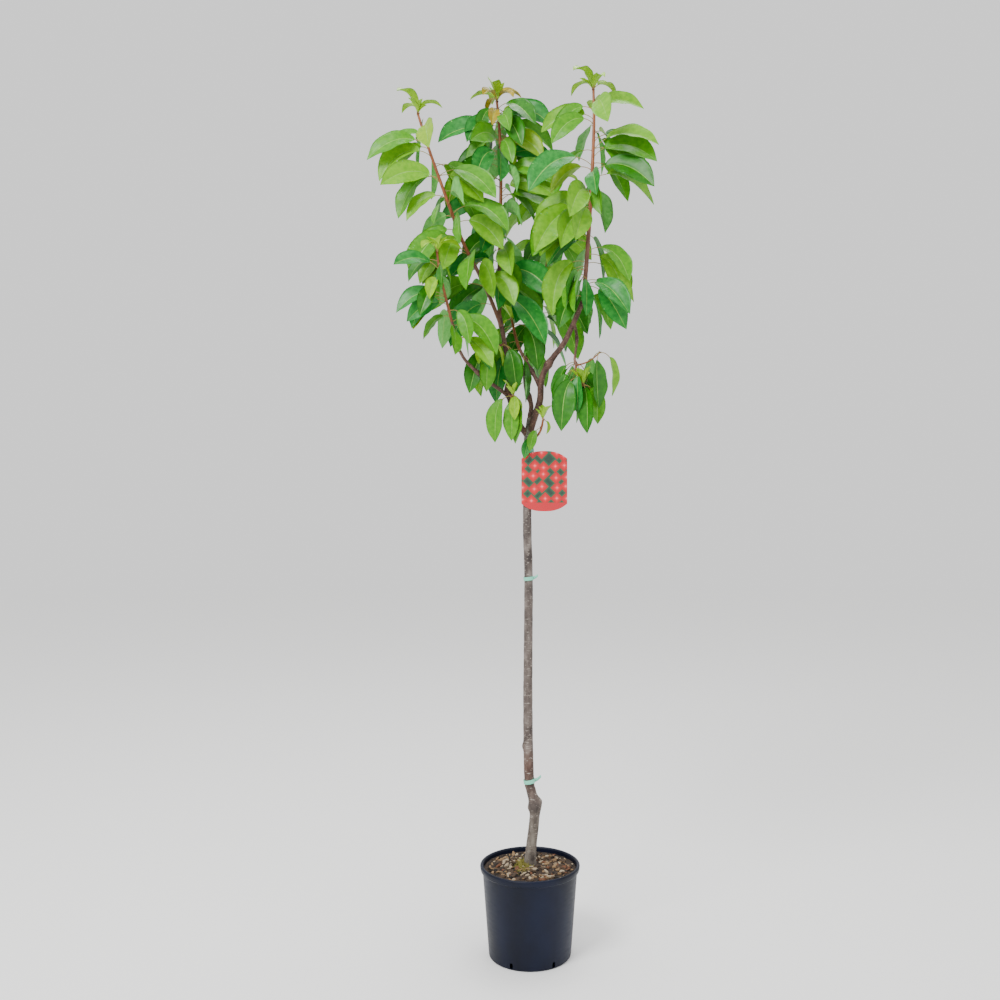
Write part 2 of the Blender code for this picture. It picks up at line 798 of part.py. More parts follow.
def make_tree():
    """Trunk, boughs, then the stems of all masses, and then the leaves, which keep clear of all of them."""
    shapes = {}
    make_trunk(shapes)
    for name, bough in BOUGHS.items():
        make_limb(name, bough, BOUGH_SIDES, shapes, "bough_bark")
    stems = {}
    for name, mass in MASSES.items():
        stems[name] = make_limb(name, mass, STEM_SIDES, shapes, "leaf")
    limbs = {name: tree_of(shape_solid(shape)) for name, shape in shapes.items()}
    grown = []
    for name, mass in MASSES.items():
        others = [limb for other, limb in limbs.items() if other != name]
        solids = grow_mass(mass, shapes[name], [*others, *grown, tree_of(label_solid())])
        grown += [tree_of(solid) for solid in solids]
        join(stems[name], solids, "leaf")
    return shapes


def rim_profile(steps):
    """The rolled rim's outside, from under the lip up and over to the inner edge."""
    middle = RIM_RADIUS - RIM_WIDTH / 2
    skirt = (RIM_RADIUS - RIM_SKIRT_SLOPE, POT_HEIGHT - RIM_DEPTH * RIM_SKIRT_SHARE)
    points = [(WALL_TOP_RADIUS, POT_HEIGHT - RIM_DEPTH), skirt]
    for i in range(steps + 1):
        angle = math.pi * i / steps
        height = POT_HEIGHT - RIM_WIDTH / 2 + RIM_WIDTH / 2 * math.sin(angle)
        points.append((middle + RIM_WIDTH / 2 * math.cos(angle), height))
    return points


def inner_radius(height):
    """Radius of the pot's inside at a height."""
    share = (height - FLOOR) / (POT_HEIGHT - RIM_DEPTH - FLOOR)
    return BASE_RADIUS + (WALL_TOP_RADIUS - BASE_RADIUS) * min(share, 1.0) - WALL


def make_pot():
    corner = BASE_CORNER * BASE_CORNER_SHARE
    inner_top = POT_HEIGHT - RIM_WIDTH / 2 - RIM_INNER_DROP
    profile = [(0.0, 0.0), (BASE_RADIUS - BASE_CORNER, 0.0), (BASE_RADIUS - corner, corner)]
    profile += [(BASE_RADIUS, BASE_CORNER), *rim_profile(RIM_STEPS)]
    profile += [(inner_radius(inner_top), inner_top), (inner_radius(FLOOR), FLOOR), (0.0, FLOOR)]
    pot = new_object("pot", turned(profile, POT_SIDES), "pot_plastic")
    for i in range(DRAIN_SLOTS):
        cut(pot, drain_solid(DRAIN_FIRST_TURN + 2 * math.pi * i / DRAIN_SLOTS))


def drain_solid(turn):
    """A slot with a round top that goes through the wall at its foot."""
    half = DRAIN_WIDTH / 2
    outline = [(-half, FLOOR + DRAIN_SILL), (half, FLOOR + DRAIN_SILL)]
    for i in range(DRAIN_ARCH_STEPS + 1):
        angle = math.pi * i / DRAIN_ARCH_STEPS
        outline.append((half * math.cos(angle), DRAIN_HEIGHT - half + half * math.sin(angle)))
    rings = []
    for out in (BASE_RADIUS - DRAIN_CUT_DEPTH, BASE_RADIUS + DRAIN_CUT_DEPTH):
        rings.append([Vector((out, y, z)) for y, z in outline])
    spin = Matrix.Rotation(turn, 3, "Z")
    return loft([[spin @ p for p in ring] for ring in rings])


def make_soil():
    """Compost that fills the pot, its top uneven but flat where the trunk stands."""
    chance = random.Random(SOIL_SEED)
    edge = inner_radius(SOIL_EDGE_LEVEL) - SOIL_WALL_ROOM
    foot = inner_radius(FLOOR + GAP) - SOIL_WALL_ROOM
    profile = [(0.0, FLOOR + GAP), (foot, FLOOR + GAP), (edge, SOIL_EDGE_LEVEL)]
    for i in range(1, SOIL_RINGS + 1):
        radius = edge + (SOIL_MOUND_RADIUS - edge) * i / SOIL_RINGS
        level = SOIL_EDGE_LEVEL + (SOIL_MOUND_LEVEL - SOIL_EDGE_LEVEL) * (i / SOIL_RINGS) ** 2
        profile.append((radius, level))
    profile.append((0.0, SOIL_MOUND_LEVEL))
    points, faces = turned(profile, POT_SIDES)
    for p in points:
        between = SOIL_MOUND_RADIUS + SOIL_EVEN_MARGIN < p.xy.length < edge - SOIL_EVEN_MARGIN
        if between and p.z > SOIL_EDGE_LEVEL:
            p.z += chance.uniform(-SOIL_UNEVEN, SOIL_UNEVEN)
    new_object("soil", (points, faces), "compost")


def label_solid():
    """A plate arched at top and bottom and bowed a little towards the front."""
    front = label_front()
    rings = []
    for i in range(LABEL_COLUMNS + 1):
        share = 2 * i / LABEL_COLUMNS - 1
        share = math.copysign(abs(share) ** LABEL_COLUMN_POWER, share)
        drop = LABEL_ARCH * abs(share) ** LABEL_ARCH_POWER
        y = front - label_bow(share)
        x = LABEL_CENTRE[0] + share * LABEL_WIDTH / 2
        half = LABEL_HEIGHT / 2 - drop
        low = LABEL_CENTRE[1] - half
        high = LABEL_CENTRE[1] + half
        back = y + LABEL_THICKNESS
        rings.append([Vector((x, y, low)), Vector((x, back, low)), Vector((x, back, high)), Vector((x, y, high))])
    return loft(rings)


def label_bow(share):
    """How far the label's face stands in front of its side edges, from -1 at the left edge to 1 at the right."""
    return LABEL_BULGE * (1 - share * share)


def label_front():
    """Where the front of the label's two side edges lies: its back is a little in front of the strap."""
    path = smooth_path(TRUNK_PATH, TRUNK_PATH_STEPS)
    place, radius = trunk_at(path, STRAP_HEIGHTS[0])
    strap_front = place.y - radius - STRAP_ROOM - STRAP_FLARE - STRAP_THICKNESS
    share = (place.x - LABEL_CENTRE[0]) / (LABEL_WIDTH / 2)
    return strap_front - 2 * GAP - LABEL_THICKNESS + label_bow(share)


def trunk_at(path, z):
    """The trunk's middle and its radius at a height."""
    share = (z - path[0].z) / (path[-1].z - path[0].z)
    place, _ = spot(path, share)
    return place, trunk_radius(share * travelled(path)[-1], share, math.pi / 2)


def band(place, along, inner_low, inner_high, height, thickness):
    """A closed strip round an axis, as a ring with a flat section that can be wider at the bottom."""
    side = Vector((1, 0, 0))
    side = (side - along * side.dot(along)).normalized()
    up = along.cross(side)
    points = []
    faces = []
    for k in range(BAND_SIDES):
        angle = 2 * math.pi * k / BAND_SIDES
        out = side * math.cos(angle) + up * math.sin(angle)
        low = place - along * height / 2
        high = place + along * height / 2
        points += [low + out * inner_low, low + out * (inner_low + thickness)]
        points += [high + out * (inner_high + thickness), high + out * inner_high]
        for a in range(4):
            b = (a + 1) % 4
            after = 4 * ((k + 1) % BAND_SIDES)
            faces.append((4 * k + a, after + a, after + b, 4 * k + b))
    return points, faces


def make_label(shapes):
    new_object("label", label_solid(), "label_card")
    middle = sum(STRAP_HEIGHTS) / 2
    low, high = (trunk_at(shapes["trunk"]["path"], z)[1] + STRAP_ROOM for z in STRAP_HEIGHTS)
    place, _ = trunk_at(shapes["trunk"]["path"], middle)
    height = STRAP_HEIGHTS[1] - STRAP_HEIGHTS[0]
    strap = band(place, Vector((0, 0, 1)), low + STRAP_FLARE, high, height, STRAP_THICKNESS)
    new_object("label_strap", strap, "strap")


def make_ties(shapes):
    """Tape tied round the trunk, each with a loose end that points right."""
    for name, (z, height, tilt, tail) in TIES.items():
        place, radius = trunk_at(shapes["trunk"]["path"], z)
        along = Vector((math.sin(tilt), 0, math.cos(tilt)))
        inner = radius - TIE_SINK
        solid = band(place, along, inner, inner, height, TIE_SINK + TIE_THICKNESS)
        tie = new_object(name, solid, "tie_tape")
        out = Vector((math.cos(tilt), 0, -math.sin(tilt)))
        start = place + out * (radius + TIE_THICKNESS / 2)
        rings = []
        for share in TAIL_SHARES:
            middle = start + out * tail * share + along * tail * TAIL_RISE * share * share
            deep = Vector((0, TIE_THICKNESS / 2, 0))
            tall = along * height * (TAIL_HALF_HEIGHT - TAIL_NARROWING * share)
            rings.append([middle - deep - tall, middle + deep - tall, middle + deep + tall, middle - deep + tall])
        join(tie, [loft(rings)], "tie_tape")
        cut(tie, shape_solid(shapes["trunk"], GAP))


clear_scene()
make_pot()
make_soil()
limb_shapes = make_tree()
make_label(limb_shapes)
make_ties(limb_shapes)
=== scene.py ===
"""Looks of the potted sweet cherry: bark, leaves, pot, compost with chips, picture label and ties."""

import math
import random

import bpy
from mathutils import Matrix, Vector, noise
from mathutils.bvhtree import BVHTree


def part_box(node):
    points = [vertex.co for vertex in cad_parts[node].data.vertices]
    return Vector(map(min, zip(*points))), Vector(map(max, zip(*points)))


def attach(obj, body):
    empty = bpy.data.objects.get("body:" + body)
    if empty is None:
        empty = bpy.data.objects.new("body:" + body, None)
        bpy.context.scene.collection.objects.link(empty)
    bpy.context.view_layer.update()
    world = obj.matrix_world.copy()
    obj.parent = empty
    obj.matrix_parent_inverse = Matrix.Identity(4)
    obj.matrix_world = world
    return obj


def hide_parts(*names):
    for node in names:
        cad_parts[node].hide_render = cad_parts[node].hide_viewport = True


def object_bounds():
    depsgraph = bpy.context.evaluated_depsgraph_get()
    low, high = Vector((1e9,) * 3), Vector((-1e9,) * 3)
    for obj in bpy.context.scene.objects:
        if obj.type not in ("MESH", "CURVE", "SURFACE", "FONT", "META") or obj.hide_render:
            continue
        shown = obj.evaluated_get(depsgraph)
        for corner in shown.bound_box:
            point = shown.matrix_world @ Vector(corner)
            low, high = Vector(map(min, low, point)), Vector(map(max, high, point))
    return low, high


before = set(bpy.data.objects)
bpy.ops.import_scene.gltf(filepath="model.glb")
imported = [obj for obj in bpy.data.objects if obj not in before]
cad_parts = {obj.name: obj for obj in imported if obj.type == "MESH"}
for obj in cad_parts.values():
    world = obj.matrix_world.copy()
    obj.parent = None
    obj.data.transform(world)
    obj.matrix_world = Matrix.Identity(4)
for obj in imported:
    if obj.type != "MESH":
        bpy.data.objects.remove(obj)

LOW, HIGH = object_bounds()
MM = 0.001
UP = Vector((0, 0, 1))
GAP = 0.0003

# Pot, taken from the frame where the frame gives it
POT_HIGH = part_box("pot")[1]
POT_HEIGHT = POT_HIGH.z
RIM_RADIUS = POT_HIGH.x
RIM_WIDTH = 0.0095
RIM_DEPTH = 0.018
RIM_STEPS = 16
LIP_DEPTH = 0.006
SKIRT_INSET = 0.0012
SKIRT_CORNER = 0.005
SWEEP_INSET = 0.0022
SWEEP_DROP = 0.004
SWEEP_HEIGHT = 0.006
SWEEP_STEPS = 6
WALL_TOP_RADIUS = 0.1325
BASE_RADIUS = 0.1155
BASE_CORNER = 0.006
CORNER_STEPS = 6
WALL = 0.0025
FLOOR = 0.003
DRAIN_SLOTS = 6
DRAIN_WIDTH = 0.009
DRAIN_HEIGHT = 0.020
DRAIN_FIRST_TURN = math.radians(-116)
DRAIN_FOOT = 0.0012
DRAIN_CUT = 0.012
DRAIN_STEPS = 12
SHARP_EDGE = math.radians(32)
POT_SIDES = 144

# Compost
SOIL_EDGE_LEVEL = 0.2405
SOIL_MOUND_LEVEL = 0.2480
SOIL_MOUND_RADIUS = 0.040
SOIL_ROOM = 0.0006
SOIL_RINGS = 44
SOIL_SIDE = 0.03
SOIL_SIDE_TAPER = 0.98
# Lumps of the compost: how many to the metre, where their pattern is cut, and how high they are
SOIL_LUMPS = ((60, 1.7, 0.0016), (190, 4.2, 0.0009))
SOIL_EVEN_RADIUS = 0.020
CHIPS = 640
CHIP_SEED = 8
CHIP_SMALLEST = 0.005
CHIP_RANGE = 0.015
CHIP_FREE_RADIUS = 0.019
MOSS_BLADES = 1100
MOSS_SEED = 3
MOSS_BLADE_RADIUS = 0.0013

# Trunk
TRUNK_FOOT_RADIUS = 0.0148
TRUNK_RADIUS = 0.0120
TRUNK_TAPER_HEIGHT = 0.75
ROOT_FLARE = 0.0036
ROOT_FLARE_HEIGHT = 0.020
GRAFT_HEIGHT = 0.165
GRAFT_SWELLING = 0.0040
GRAFT_LENGTH = 0.017
FORK_HEIGHT = 1.195
FORK_SWELLING = 0.0022
FORK_LENGTH = 0.045
STUB_RADIUS = 0.0085
STUB_LENGTH = 0.050
# Healed knobs: height above the compost, turn round the trunk, how far it stands out, its size
TRUNK_KNOBS = (
    (0.180, math.radians(8), 0.0060, 0.011),
    (0.158, math.radians(180), 0.0030, 0.009),
    (0.336, math.radians(182), 0.0040, 0.009),
)

# Bark relief in layers: how many folds to the metre across and up the limb, and how deep they are
TRUNK_RELIEF = ((90, 45, 0.0006), (160, 520, 0.00035))
BOUGH_RELIEF = ((120, 120, 0.00045), (260, 700, 0.00018))
TRUNK_BARK_STEPS = 60
TRUNK_BARK_SIDES = 64
BOUGH_BARK_STEPS = 8
BOUGH_BARK_SIDES = 24

# Limbs, as in the solids: the same paths, radii and growth
PATH_STEPS = 3
TRUNK_PATH_STEPS = 4
COLLAR_SWELLING = 0.30
COLLAR_LENGTH = 0.012
KNOB_SWELLING = 0.45
KNOB_LENGTH = 0.012
TRUNK_PATH = (
    (0.000, 0.012, SOIL_MOUND_LEVEL + GAP),
    (0.004, 0.012, 0.301),
    (0.010, 0.011, 0.349),
    (0.014, 0.010, 0.412),
    (0.003, 0.009, 0.455),
    (-0.003, 0.008, 0.499),
    (-0.006, 0.004, 0.711),
    (-0.004, 0.000, 1.035),
    (-0.008, -0.002, 1.231),
    (-0.003, 0.000, 1.442),
    (0.000, 0.004, 1.505),
)
BOUGHS = {
    "left_bough": {
        "carrier": "trunk",
        "share": 0.955,
        "path": ((-0.034, -0.004, 1.495), (-0.062, -0.008, 1.576), (-0.057, -0.004, 1.627),
                 (-0.070, 0.004, 1.706), (-0.084, 0.010, 1.785)),
        "radii": (0.0085, 0.0060),
        "knob": 0.40,
    },
    "right_bough": {
        "carrier": "trunk",
        "share": 0.965,
        "path": ((0.014, -0.006, 1.510), (0.028, -0.012, 1.553), (0.033, -0.016, 1.614),
                 (0.059, -0.020, 1.664), (0.099, -0.028, 1.719), (0.148, -0.040, 1.828)),
        "radii": (0.0100, 0.0065),
        "knob": 0.50,
    },
    "back_bough": {
        "carrier": "trunk",
        "share": 1.0,
        "path": ((0.003, 0.012, 1.543), (-0.011, 0.035, 1.590), (-0.014, 0.060, 1.649),
                 (-0.003, 0.085, 1.709)),
        "radii": (0.0070, 0.0052),
        "knob": 0.30,
    },
    "left_low_bough": {
        "carrier": "left_bough",
        "share": 0.365,
        "path": ((-0.089, -0.030, 1.585), (-0.127, -0.060, 1.611), (-0.172, -0.090, 1.652),
                 (-0.190, -0.105, 1.680)),
        "radii": (0.0052, 0.0042),
        "knob": 0.60,
    },
    "inner_bough": {
        "carrier": "right_bough",
        "share": 0.32,
        "path": ((0.014, 0.000, 1.619), (-0.008, 0.020, 1.660)),
        "radii": (0.0058, 0.0050),
        "knob": 0.70,
    },
    "right_low_bough": {
        "carrier": "right_bough",
        "share": 0.84,
        "path": ((0.129, -0.055, 1.721), (0.123, -0.075, 1.667)),
        "radii": (0.0040, 0.0034),
        "knob": 0.50,
    },
}
MASSES = {
    "centre_leader_leaves": {
        "carrier": "left_bough",
        "share": 1.0,
        "path": ((-0.088, 0.030, 1.882), (-0.086, 0.055, 2.015), (-0.084, 0.085, 2.194),
                 (-0.087, 0.100, 2.314), (-0.096, 0.110, 2.427)),
        "radii": (0.0058, 0.0024),
        "grows": "lrlflbbflbrrllrlrblfrlrrfr",
        "hang": (0.55, 0.10),
        "blade": 0.145,
        "crowding": 0.70,
        # Above this height the leader's leaves too are dealt the darker greens of painted shade
        "painted_shade_above": 2.20,
        "tips": 7,
        "seed": 18,
    },
    "left_leader_leaves": {
        "carrier": "left_bough",
        "share": 0.93,
        "path": ((-0.112, 0.006, 1.841), (-0.145, -0.010, 1.911), (-0.189, -0.030, 1.997),
                 (-0.232, -0.045, 2.112), (-0.276, -0.050, 2.235), (-0.310, -0.045, 2.342)),
        "radii": (0.0055, 0.0022),
        "grows": "lrlbbfbllrrfblrrlllb",
        "hang": (0.55, 0.10),
        "blade": 0.155,
        "tips": 4,
        "seed": 61,
    },
    "right_leader_leaves": {
        "carrier": "right_bough",
        "share": 1.0,
        "path": ((0.155, -0.050, 1.915), (0.165, -0.055, 2.060), (0.173, -0.045, 2.201),
                 (0.178, -0.030, 2.330), (0.177, -0.020, 2.417)),
        "radii": (0.0063, 0.0024),
        "grows": "fllrblblllfbrrlrrrrblrb",
        "hang": (0.70, 0.05),
        "blade": 0.160,
        "tips": 4,
        "seed": 41,
    },
    "left_low_leaves": {
        "carrier": "left_low_bough",
        "share": 1.0,
        "path": ((-0.205, -0.120, 1.735), (-0.223, -0.135, 1.808), (-0.241, -0.140, 1.885),
                 (-0.249, -0.140, 1.941)),
        "radii": (0.0040, 0.0020),
        "grows": "rfrbllbbll",
        "hang": (0.60, 0.15),
        "blade": 0.125,
        "tips": 2,
        "seed": 99,
    },
    "back_leaves": {
        "carrier": "back_bough",
        "share": 1.0,
        "path": ((0.017, 0.110, 1.779), (0.038, 0.145, 1.886), (0.056, 0.175, 2.010),
                 (0.072, 0.190, 2.117), (0.078, 0.195, 2.199)),
        "radii": (0.0050, 0.0022),
        "grows": "blrrrrbfblbrfblf",
        "hang": (0.75, 0.10),
        "blade": 0.145,
        "tips": 4,
        "seed": 86,
    },
    "inner_leaves": {
        "carrier": "inner_bough",
        "share": 1.0,
        "path": ((-0.028, 0.035, 1.698), (-0.040, 0.045, 1.733), (-0.052, 0.060, 1.787)),
        "radii": (0.0048, 0.0022),
        "grows": "flrlr",
        "hang": (1.0, 0.8),
        "blade": 0.125,
        "tips": 1,
        "seed": 92,
    },
    "right_low_leaves": {
        "carrier": "right_low_bough",
        "share": 1.0,
        "path": ((0.128, -0.090, 1.625), (0.144, -0.100, 1.586)),
        "radii": (0.0033, 0.0022),
        "grows": "bRlrlf",
        "hang": (0.95, 1.0),
        "blade": 0.125,
        "tips": 2,
        "seed": 91,
    },
    "left_spur_leaves": {
        "carrier": "left_bough",
        "share": 0.80,
        "path": ((-0.092, -0.020, 1.700), (-0.111, -0.035, 1.707)),
        "radii": (0.0030, 0.0022),
        "grows": "ll",
        "hang": (0.9, 1.0),
        "blade": 0.120,
        "tips": 2,
        "seed": 78,
    },
    "knob_spur_leaves": {
        "carrier": "left_bough",
        "share": 0.40,
        "path": ((-0.053, -0.030, 1.563), (-0.047, -0.045, 1.562)),
        "radii": (0.0030, 0.0022),
        "grows": "f",
        "hang": (1.0, 1.0),
        "blade": 0.125,
        "tips": 2,
        "seed": 50,
    },
    "fork_twig_leaves": {
        "carrier": "trunk",
        "share": 0.945,
        "path": ((0.020, -0.015, 1.453), (0.031, -0.030, 1.472), (0.036, -0.038, 1.496)),
        "radii": (0.0032, 0.0020),
        "grows": "ll",
        "hang": (0.9, 0.9),
        "blade": 0.075,
        "tips": 1,
        "seed": 90,
    },
}

# Leaf sizes and slopes of the growth rule
LEAF_ROOM = 0.0012
PETIOLE_SHARE = 0.27
PETIOLE_RADIUS = 0.0013
PETIOLE_SPREAD = (0.85, 1.2)
BLADE_WIDTH_SHARE = 0.46
BLADE_BASE_POWER = 0.55
BLADE_TIP_START = 2.4
BLADE_TIP_POWER = 1.15
BLADE_PEAK = 0.536
LEAF_THICKNESS_SHARE = 0.016
FOLD = math.radians(14)
LEAF_STEPS = 20
PETIOLE_STEPS = 4
LEAF_SECTIONS = (0, 2, 4, 7, 11, 15, 18)
FREE_OF_STEM_FROM = 2
LIGHT = Vector((0.0, -1.0, 0.0))
ROLL = (math.radians(38), math.radians(78))
FACES_LIGHT = 0.5
RISE = (math.radians(58), math.radians(-8))
FALL = (math.radians(-38), math.radians(-93))
BEND = (1.15, 4.0)
SIDE_TURNS = {"r": 0.0, "b": 90.0, "l": 180.0, "f": 270.0}
TURN_SPREAD = 28.0
SLOPE_SPREAD = 14.0
HANG_SPREAD = 0.14
SWEEP_SPREAD = 22.0
BLADE_SPREAD = 0.20
TRIED_TURNS = (0.0, 24.0, -24.0, 48.0, -48.0, 72.0, -72.0)
FIRST_LEAF_SHARE = 0.08
LAST_LEAF_SHARE = 0.95
YOUNG_SHARE = 0.14
YOUNG_SIZE = 0.50
TIP_RISE = 24.0
MASS_REACH = 0.24
TWIG_LENGTH = 0.075
TWIG_SLOPE = math.radians(38)
TWIG_RADII = (0.0024, 0.0016)
TWIG_LEAVES = 3
STEM_SIDES = 6
BOUGH_SIDES = 8
TRUNK_SIDES = 14
TWIG_SIDES = 4
RING_START = Vector((0.3, -0.9, 0.1))

# Fine leaves: rows along a blade, columns across it, teeth, pleats between side veins, waves of the edge
BLADE_ROWS = 28
BLADE_COLUMNS = (-1.0, -0.78, -0.50, -0.24, -0.03, 0.03, 0.24, 0.50, 0.78, 1.0)
MIDRIB_COLUMN = 4
LEAF_THICKNESS = 0.00045
TOOTH = 0.018
VEIN_PAIRS = 7
VEIN_SLANT = 0.10
PLEAT_DEPTH = 0.012
BLADE_FOLD = (10, 27)
YOUNG_FOLD = (28, 46)
YOUNG_ROLL = 0.35
EDGE_WAVE = 0.055
EDGE_CURL = 0.10
MIDRIB_DIP = 0.0006
TUFT_LEAVES = 5
TUFT_BLADE = 0.052
# Leaves that the solids leave out: shares of the shoot between which they grow, how many are tried, how they
# hang, and their size beside the mass's own
SECOND_LEAVES = {
    "centre_leader_leaves": (
        (0.70, 0.98, 26, 0.55, 0.80), (0.10, 0.70, 14, 0.50, 0.85), (0.80, 0.99, 24, 0.75, 0.62)),
    "left_leader_leaves": ((0.15, 0.95, 20, 0.45, 0.80),),
    "right_leader_leaves": ((0.15, 0.95, 20, 0.45, 0.80), (0.0, 0.16, 12, 0.60, 0.80)),
    "left_low_leaves": ((0.10, 0.95, 10, 0.55, 0.75),),
    "back_leaves": ((0.10, 0.95, 18, 0.50, 0.85),),
    "inner_leaves": ((0.10, 0.95, 6, 0.80, 0.75),),
    "right_low_leaves": ((0.05, 0.98, 22, 0.95, 0.95),),
    "left_spur_leaves": ((0.10, 0.95, 8, 0.95, 0.90),),
    "knob_spur_leaves": ((0.10, 0.95, 5, 0.95, 0.85),),
}
SECOND_SEED = 34
DRESSING_SEED = 5
YOUNG_BLADE_SHARE = 0.62
COPPER_SHARE = 0.55
COPPER_ABOVE = 2.4
PETIOLE_RINGS = 6
BUD_LENGTH = 0.0055
BUD_RADIUS = 0.0018
BUD_STANDS_OUT = 0.002
SHOOT_JOINT = 0.028
SHOOT_JOINT_SWELLING = 0.10
SHOOT_THICKENING = 0.45
SHOOT_STEPS = 5
SHOOT_SIDES = 12
TWIG_STEPS = 4
OLD_SKIN_SHARE = 0.38

# Label
LABEL_WIDTH = 0.128
LABEL_HEIGHT = 0.168
LABEL_ARCH = 0.021
LABEL_BULGE = 0.006
LABEL_THICKNESS = 0.0012
LABEL_CENTRE = (0.040, 1.3265)
LABEL_COLUMNS = 10
CARD_COLUMNS = 48
LABEL_COLUMN_POWER = 0.8
LABEL_ARCH_POWER = 2.6
PRINT_PITCH_MM = 31.0
BAND_BELOW = 0.060
STRAP_HEIGHTS = (1.379, 1.4165)
STRAP_THICKNESS = 0.0010
STRAP_FLARE = 0.0012
STRAP_ROOM = 0.0011
TIES = {
    "lower_tie": (0.484, 0.011, math.radians(-9), 0.020),
    "upper_tie": (1.054, 0.010, math.radians(-6), 0.014),
}
TIE_THICKNESS = 0.0019
TIE_ROOM = 0.0004
TAIL_RISE = 0.45
# Section of a band as shares of its thickness and height: an oblong whose corners are cut off
BAND_SECTION = (
    (0.0, 0.12), (0.12, 0.0), (0.88, 0.0), (1.0, 0.12),
    (1.0, 0.88), (0.88, 1.0), (0.12, 1.0), (0.0, 0.88),
)

# Studio: each lamp's place, width and power
LAMPS = {
    "key": ((-2.0, -2.6, 4.4), 1.6, 195),
    "fill": ((3.0, -2.6, 1.6), 2.4, 20),
    "top": ((0.4, 1.2, 4.6), 2.0, 70),
}
LAMPS_AIM = Vector((0, 0, 1.3))
SKY_STRENGTH = 1.12
CAMERA_PLACE = (0.0, -3.03, 1.366)
CAMERA_LENS = 38.84
CAMERA_SHIFT = (-0.030, -0.033)
FLOOR_HALF = 9


def linear(hex_colour):
    """An sRGB hex colour as linear red, green, blue and alpha."""
    parts = [int(hex_colour[i : i + 2], 16) / 255 for i in (0, 2, 4)]
    return [p / 12.92 if p <= 0.04045 else ((p + 0.055) / 1.055) ** 2.4 for p in parts] + [1.0]


def feed(made, **inputs):
    """Sets or links a node's inputs. Spaces in a name are underscores, and i6 is the input in that place."""
    for name, value in inputs.items():
        socket = made.inputs[int(name[1:]) if name[1:].isdigit() else name.replace("_", " ")]
        if isinstance(value, bpy.types.Node):
            value = value.outputs[0]
        if isinstance(value, bpy.types.NodeSocket):
            made.id_data.links.new(value, socket)
        else:
            socket.default_value = value
    return made


def node(tree, kind, settings=None, stops=(), **inputs):
    """Adds a node with its settings, its colour stops and its inputs."""
    made = tree.nodes.new(kind)
    for name, value in (settings or {}).items():
        setattr(made, name, value)
    for i, (position, colour) in enumerate(stops):
        elements = made.color_ramp.elements
        element = elements[i] if i < 2 else elements.new(position)
        element.position = position
        element.color = linear(colour)
    return feed(made, **inputs)


def material(name, **constants):
    """A new material, its tree and its shader, which holds what is the same all over."""
    made = bpy.data.materials.new(name)
    made.use_nodes = True
    shader = made.node_tree.nodes["Principled BSDF"]
    return made, made.node_tree, feed(shader, **constants)


def pattern(tree, kind, size_mm, stretch=(1, 1, 1), **inputs):
    """A texture in the object's own coordinates whose grain has the given size, squeezed by stretch."""
    where = node(tree, "ShaderNodeTexCoord").outputs["Object"]
    squeezed = node(tree, "ShaderNodeMapping", Vector=where, Scale=stretch)
    return node(tree, kind, Vector=squeezed, Scale=1000 / size_mm, **inputs)


def leaf_face(name, dark, light, roughness, coat):
    """Living leaf, waxy above and dull below: 11 mm patches of two greens, and a fine grain in the gloss."""
    made, tree, shader = material(name, Roughness=roughness, IOR=1.42, Specular_IOR_Level=0.30,
                                  Coat_Weight=coat, Coat_Roughness=0.25)
    patches = pattern(tree, "ShaderNodeTexNoise", 11.11, Detail=3.0)
    colour = node(tree, "ShaderNodeValToRGB", stops=((0.32, dark), (0.68, light)), Fac=patches)
    grain = pattern(tree, "ShaderNodeTexNoise", 2.38, Detail=2.0)
    relief = node(tree, "ShaderNodeBump", Strength=0.25, Distance=0.6 * MM, Height=grain)
    feed(shader, Base_Color=colour, Normal=relief)
    return made


def bark(name, stops, spots, roughness, band_mm, heights=None):
    """Cherry bark, smooth and papery: mottled over 18 mm, with pale corky pores that lie across it."""
    made, tree, shader = material(name, Roughness=roughness, IOR=1.45)
    mottle = pattern(tree, "ShaderNodeTexNoise", 18.18, (1, 1, 0.5), Detail=6.0)
    colour = node(tree, "ShaderNodeValToRGB", stops=stops, Fac=mottle)
    if heights:
        where = node(tree, "ShaderNodeTexCoord").outputs["Object"]
        height = node(tree, "ShaderNodeSeparateXYZ", Vector=where).outputs["Z"]
        uneven = node(tree, "ShaderNodeMath", {"operation": "MULTIPLY_ADD"}, i0=mottle, i1=0.05, i2=height)
        share = node(tree, "ShaderNodeMapRange", Value=uneven, From_Min=SOIL_EDGE_LEVEL,
                     From_Max=TRUNK_PATH[-1][2])
        tint = node(tree, "ShaderNodeValToRGB", stops=heights, Fac=share)
        overlay = {"data_type": "RGBA", "blend_type": "OVERLAY"}
        colour = node(tree, "ShaderNodeMix", overlay, i0=0.75, i6=colour, i7=tint).outputs[2]
    across = (0.35, 0.35, 1.6)
    pores = pattern(tree, "ShaderNodeTexNoise", band_mm, across, Detail=3.0)
    mask = node(tree, "ShaderNodeValToRGB", stops=((0.60, "000000"), (0.68, "ffffff")), Fac=pores)
    mixed = node(tree, "ShaderNodeMix", {"data_type": "RGBA"}, i0=mask, i6=colour, i7=linear(spots))
    grain = pattern(tree, "ShaderNodeTexNoise", 2.38, across, Detail=5.0)
    relief = node(tree, "ShaderNodeBump", Strength=0.55, Distance=1.2 * MM, Height=grain)
    feed(shader, Base_Color=mixed.outputs[2], Normal=relief)
    return made


